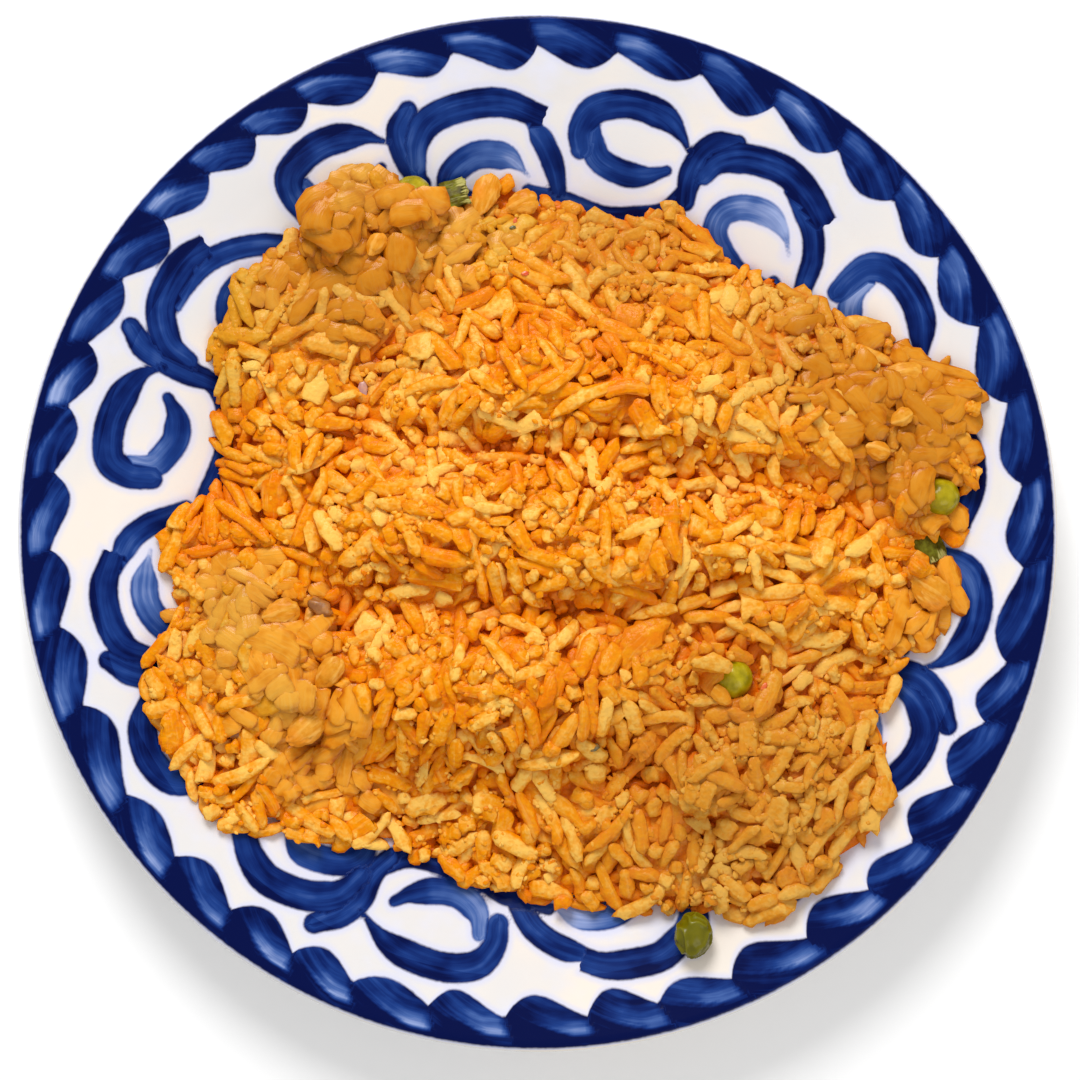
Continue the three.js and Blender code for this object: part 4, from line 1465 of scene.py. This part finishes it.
def pea_material(look):
    """Moist green skin, darker where it has dried, with painted highlights along the ridges of its wrinkles.
    """
    shader = Shader("pea_skin")
    place = shader.place()
    mottle = shader.noise(place, 420, 3.0)
    cloud = shader.noise(place, 150, 1.0)
    colour = shader.ramp(mottle, (
        (0.25, between(look.pea, linear(84, 86, 4), 0.6)),
        (0.5, look.pea),
        (0.8, linear(192, 174, 36)),
    ))
    colour = shader.tint(colour, cloud, 0.45, 0.75, 0.2, 172, 154, 22)
    colour = shader.tint(colour, shader.attribute("dry"), 0.2, 1.0, 0.85, 86, 84, 0)
    # Painted highlight: the raised ridges of the wrinkles are paler
    colour = shader.tint(colour, shader.attribute("ridge"), 0.3, 1.0, 0.4, 140, 136, 30)
    relief = shader.bump(mottle, 0.15, 0.4)
    return shader.finish(
        Base_Color=colour, Roughness=0.24, IOR=1.45, Specular_IOR_Level=0.22, Coat_Weight=0.08,
        Coat_Roughness=0.12, Normal=relief,
    )


def corn_mesh(node, index):
    """A soft, squashed kernel with creases and a dented crown."""
    bm, points = refined_copy(node, 3, 3)
    centre = points.mean(0)
    shift = Vector((index * 3.1, 0.7, 0.2))
    for row in points:
        at = Vector(row - centre)
        crease = abs(noise.noise(at * 0.42 + shift))
        row -= (row - centre) * (0.34 * max(0.3 - crease, 0) + 0.07 * noise.noise(at * 1.0 + shift) + 0.02)
    move_points(bm, points)
    bmesh.ops.recalc_face_normals(bm, faces=bm.faces)
    mesh = mesh_from_bmesh(node + "_soft", bm)
    store(mesh, grain=own_frame(points))
    return mesh


def corn_material(look):
    """Soft yellow flesh with pale threads and stains of sauce."""
    shader = Shader("corn_kernel")
    place = shader.place()
    cloud = shader.noise(place, 260, 3.0, 0.6)
    stain = shader.noise(place, 130, 2.0)
    threads = shader.noise(shader.scaled(shader.attribute("grain", "Vector"), (0.16, 1.0, 0.8)), 1.0, 2.0)
    colour = shader.ramp(cloud, (
        (0.3, linear(206, 118, 8)),
        (0.5, look.corn),
        (0.75, linear(230, 164, 60)),
    ))
    colour = shader.tint(colour, threads, 0.48, 0.7, 0.45, 242, 190, 96)
    colour = shader.tint(colour, stain, 0.5, 0.72, 0.6, 222, 124, 12)
    relief = shader.bump(cloud, 0.3, 0.5)
    relief = shader.bump(threads, 0.5, 0.6, relief)
    return shader.finish(
        Base_Color=colour, Roughness=0.3, IOR=1.44, Specular_IOR_Level=0.14, Normal=relief,
    )


def pepper_mesh(node, index):
    """A bent bit of pepper, frilled along its cut edge."""
    bm, points = refined_copy(node, 3, 2)
    centre = points.mean(0)
    along = own_frame(points)[:, 0]
    tip = (along - along.min()) / np.ptp(along)
    for row, share in zip(points, tip):
        at = Vector(row - centre)
        frill = noise.noise(at * 1.6 + Vector((0, index * 4.0, 0))) * share
        dent = noise.noise(at * 0.9 + Vector((index * 4.0, 0, 0)))
        row -= (row - centre) * (0.08 + 0.10 * dent + 0.22 * frill)
    move_points(bm, points)
    bmesh.ops.recalc_face_normals(bm, faces=bm.faces)
    mesh = mesh_from_bmesh(node + "_cut", bm)
    store(mesh, tip=tip, grain=own_frame(points))
    return mesh


def pepper_material(look):
    """Cooked green skin, pale at the frilled tip."""
    shader = Shader("green_pepper")
    place = shader.place()
    cloud = shader.noise(place, 330, 3.0, 0.6)
    ribs = shader.noise(shader.scaled(shader.attribute("grain", "Vector"), (0.2, 1.5, 1.0)), 1.0, 2.0)
    colour = shader.ramp(cloud, (
        (0.3, linear(44, 44, 2)),
        (0.5, look.pepper),
        (0.75, linear(128, 130, 34)),
    ))
    edge = shader.math("ADD", shader.attribute("tip"), shader.band(ribs, 0.3, 0.7, -0.25, 0.25))
    colour = shader.tint(colour, edge, 0.78, 0.98, 0.75, 190, 182, 104)
    return shader.finish(
        Base_Color=colour, Roughness=0.3, IOR=1.45, Specular_IOR_Level=0.12,
        Normal=shader.bump(ribs, 0.5, 0.6),
    )


# Small bits: colour, and length, width and thickness as shares of the length
BIT_LOOKS = {
    "brown": (linear(138, 84, 38), (1.0, 0.62, 0.42)),
    "onion": (linear(176, 132, 128), (1.0, 0.5, 0.2)),
    "tomato": (linear(214, 74, 14), (1.0, 0.6, 0.25)),
    "herb": (linear(74, 74, 20), (1.0, 0.6, 0.2)),
}


def bit_mesh(kind, field, rng):
    """All small bits of one kind, set on the rice."""
    joined = bmesh.new()
    shape = BIT_LOOKS[kind][1]
    for bit, x, y, size in LOOSE_BITS:
        if bit != kind:
            continue
        cell = field.cell(x, y)
        rice_top = field.top[cell]
        before = len(joined.verts)
        bmesh.ops.create_icosphere(joined, subdivisions=3, radius=1.0)
        joined.verts.ensure_lookup_table()
        turn = rng.uniform(0, math.pi)
        for vert in joined.verts[before:]:
            swell = 1 + 0.3 * noise.noise(vert.co * 1.6 + Vector((x, y, 0)))
            local = vert.co * swell
            across = Vector((local.x * shape[0], local.y * shape[1], local.z * shape[2])) * (size / 2)
            vert.co = Vector((
                x + across.x * math.cos(turn) - across.y * math.sin(turn),
                y + across.x * math.sin(turn) + across.y * math.cos(turn),
                rice_top + across.z + size * shape[2] * 0.25,
            )) * MM
    return mesh_from_bmesh(kind + "_bits", joined)


def bit_material(kind):
    """One colour with lighter clouds in it."""
    shader = Shader(kind + "_bit")
    place = shader.place()
    colour = BIT_LOOKS[kind][0]
    cloud = shader.noise(place, 500, 3.0)
    mixed = shader.blend(shader.band(cloud, 0.35, 0.7), colour, between(colour, linear(240, 170, 90), 0.3))
    return shader.finish(
        Base_Color=mixed, Roughness=0.35, IOR=1.45, Coat_Weight=0.2, Coat_Roughness=0.2,
        Subsurface_Weight=0.1, Subsurface_Scale=0.001, Normal=shader.bump(cloud, 0.3, 0.5),
    )


# ---------------------------------------------------------------- operators

# The heights of the heap that was last made, for the bits that lie on it
FIELD = {}


class RICE_OT_plate(bpy.types.Operator):
    """Makes the painted plate"""

    bl_idname = "red_rice.plate"
    bl_label = "Painted plate"

    def execute(self, context):
        look = context.scene.red_rice_plate
        mesh = make_plate_mesh(look)
        new_piece("plate_painted", mesh, (glaze_material(look),), ("plate",))
        return {"FINISHED"}


class RICE_OT_heap(bpy.types.Operator):
    """Drops the loose grains over a packed core"""

    bl_idname = "red_rice.heap"
    bl_label = "Heap of rice"

    def execute(self, context):
        look = context.scene.red_rice_heap
        field = HeapField(look.depth / MM)
        FIELD["heap"] = field
        grains = heap_grains(field, look.most_grains, look.seed)
        grain_look = rice_material(look)
        soft_look = soft_material()
        core = core_mesh(field)
        new_piece("rice_core", core, (grain_look, soft_look), ("rice_heap",))
        soften(core)
        middles = np.array([face.center for face in core.polygons]) / MM
        waxy = patches_share(middles[:, 0], middles[:, 1], SOFT_PATCHES) > 0.5
        core.polygons.foreach_set("material_index", waxy.astype(np.int32))
        for index, kind in enumerate(KIND_NAMES):
            chosen = grains["kind"] == index
            if not chosen.any():
                raise RuntimeError(f"the heap has no {kind} grains")
            some = {key: values[chosen] for key, values in grains.items()}
            soft = kind == "soft"
            name = f"rice_{kind}_grains"
            mesh = grain_mesh(name, kind, some, field, look.seed + index)
            new_piece(name, mesh, (soft_look if soft else grain_look,), ("rice_heap",))
            soften(mesh, GLOW_THROUGH * (2 if soft else 1))
        crumbs = crumb_mesh("rice_crumbs", field, look.crumbs, look.seed)
        new_piece("rice_crumbs", crumbs, (grain_look,), ("rice_heap",))
        soften(crumbs)
        return {"FINISHED"}


class RICE_OT_peas(bpy.types.Operator):
    """Makes the peas"""

    bl_idname = "red_rice.peas"
    bl_label = "Peas"

    def execute(self, context):
        skin = pea_material(context.scene.red_rice_toppings)
        for node in PEA_NODES:
            wrinkled = 1.0 if node == "pea_wrinkled" else FRESH_PEA_WRINKLES
            new_piece(node + "_skin", pea_mesh(node, wrinkled), (skin,), (node,))
        return {"FINISHED"}


class RICE_OT_corn(bpy.types.Operator):
    """Makes the soft kernels of corn"""

    bl_idname = "red_rice.corn"
    bl_label = "Corn kernels"

    def execute(self, context):
        flesh = corn_material(context.scene.red_rice_toppings)
        for index, node in enumerate(CORN_NODES):
            kernel = corn_mesh(node, index)
            new_piece(node + "_soft", kernel, (flesh,), (node,))
            soften(kernel)
        return {"FINISHED"}


class RICE_OT_pepper(bpy.types.Operator):
    """Makes the bits of green pepper"""

    bl_idname = "red_rice.pepper"
    bl_label = "Green pepper"

    def execute(self, context):
        skin = pepper_material(context.scene.red_rice_toppings)
        for index, node in enumerate(PEPPER_NODES):
            new_piece(node + "_cut", pepper_mesh(node, index), (skin,), (node,))
        return {"FINISHED"}


class RICE_OT_bits(bpy.types.Operator):
    """Makes the small brown, onion, tomato and herb bits on the rice"""

    bl_idname = "red_rice.bits"
    bl_label = "Small bits"

    def execute(self, context):
        if "heap" not in FIELD:
            raise RuntimeError("make the heap before the small bits")
        rng = np.random.default_rng(5)
        for kind in BIT_LOOKS:
            new_piece(kind + "_bits", bit_mesh(kind, FIELD["heap"], rng), (bit_material(kind),))
        return {"FINISHED"}


class RICE_OT_stage(bpy.types.Operator):
    """Makes the floor, the lights and the camera"""

    bl_idname = "red_rice.stage"
    bl_label = "Stage"

    def execute(self, context):
        stage = context.scene.red_rice_stage
        bm = bmesh.new()
        bmesh.ops.create_grid(bm, x_segments=1, y_segments=1, size=FLOOR_SIZE)
        bmesh.ops.translate(bm, vec=(0, 0, -FLOOR_GAP), verts=bm.verts)
        floor = bpy.data.objects.new("floor", mesh_from_bmesh("floor", bm))
        context.scene.collection.objects.link(floor)
        paper = Shader("pale_floor")
        floor.data.materials.append(paper.finish(Base_Color=linear(252, 252, 252), Roughness=0.9))

        add_light(context, "key_light", *KEY_LIGHT, stage.key)
        add_light(context, "fill_light", *FILL_LIGHT, stage.fill)
        world = context.scene.world or bpy.data.worlds.new("surroundings")
        context.scene.world = world
        world.use_nodes = True
        sky = world.node_tree.nodes["Background"]
        sky.inputs["Color"].default_value = (1, 1, 1, 1)
        sky.inputs["Strength"].default_value = stage.sky
        context.scene.view_settings.view_transform = "Standard"
        add_camera(context)
        return {"FINISHED"}


def add_light(context, name, place, size, power):
    """A round soft light that shines on the middle of the plate."""
    lamp = bpy.data.lights.new(name, "AREA")
    lamp.shape = "DISK"
    lamp.size = size
    lamp.energy = power
    light = bpy.data.objects.new(name, lamp)
    light.location = place
    light.rotation_euler = (-Vector(place)).to_track_quat("-Z", "Y").to_euler()
    context.scene.collection.objects.link(light)


def add_camera(context):
    """Looks down so that the plate's rim falls where it does in the photo."""
    lens = bpy.data.cameras.new("camera")
    lens.lens = LENS_MM
    lens.sensor_width = SENSOR_MM
    camera = bpy.data.objects.new("camera", lens)
    scale = PLATE_RADIUS_MM / PLATE_RADIUS_PX
    away = (PHOTO_SIZE_PX / 2 * scale) * LENS_MM / (SENSOR_MM / 2)
    aim = Vector((
        (PHOTO_SIZE_PX / 2 - PLATE_CENTRE_PX[0]) * scale,
        (PLATE_CENTRE_PX[1] - PHOTO_SIZE_PX / 2) * scale,
        PLATE_HEIGHT_MM,
    ))
    lean = math.radians(CAMERA_ELEVATION)
    back = Vector((0, -math.cos(lean), math.sin(lean)))
    camera.location = (aim + back * away) * MM
    camera.rotation_euler = (math.radians(90) - lean, 0, 0)
    lens.clip_start, lens.clip_end = 0.01, 20
    context.scene.collection.objects.link(camera)
    context.scene.camera = camera


class RICE_PT_sidebar(bpy.types.Panel):
    """Shows the dish's settings and the buttons that make its pieces"""

    bl_label = "Red rice"
    bl_idname = "RICE_PT_sidebar"
    bl_space_type = "VIEW_3D"
    bl_region_type = "UI"
    bl_category = "Red rice"

    def draw(self, context):
        for group in ("red_rice_plate", "red_rice_heap", "red_rice_toppings", "red_rice_stage"):
            settings = getattr(context.scene, group)
            box = self.layout.box()
            for key in settings.bl_rna.properties.keys():
                if key not in ("rna_type", "name"):
                    box.prop(settings, key)
        for operator in OPERATORS:
            self.layout.operator(operator.bl_idname)


SETTINGS = {
    "red_rice_plate": PlateSettings,
    "red_rice_heap": RiceSettings,
    "red_rice_toppings": ToppingSettings,
    "red_rice_stage": StageSettings,
}
OPERATORS = (
    RICE_OT_plate, RICE_OT_heap, RICE_OT_peas, RICE_OT_corn, RICE_OT_pepper, RICE_OT_bits, RICE_OT_stage,
)


def register():
    for group in SETTINGS.values():
        bpy.utils.register_class(group)
    for name, group in SETTINGS.items():
        setattr(bpy.types.Scene, name, PointerProperty(type=group))
    for made in (*OPERATORS, RICE_PT_sidebar):
        bpy.utils.register_class(made)


def unregister():
    for made in (RICE_PT_sidebar, *reversed(OPERATORS)):
        bpy.utils.unregister_class(made)
    for name, group in SETTINGS.items():
        delattr(bpy.types.Scene, name)
        bpy.utils.unregister_class(group)


def main():
    register()
    for operator in OPERATORS:
        group, _, name = operator.bl_idname.partition(".")
        getattr(getattr(bpy.ops, group), name)()


if __name__ == "__main__":
    main()
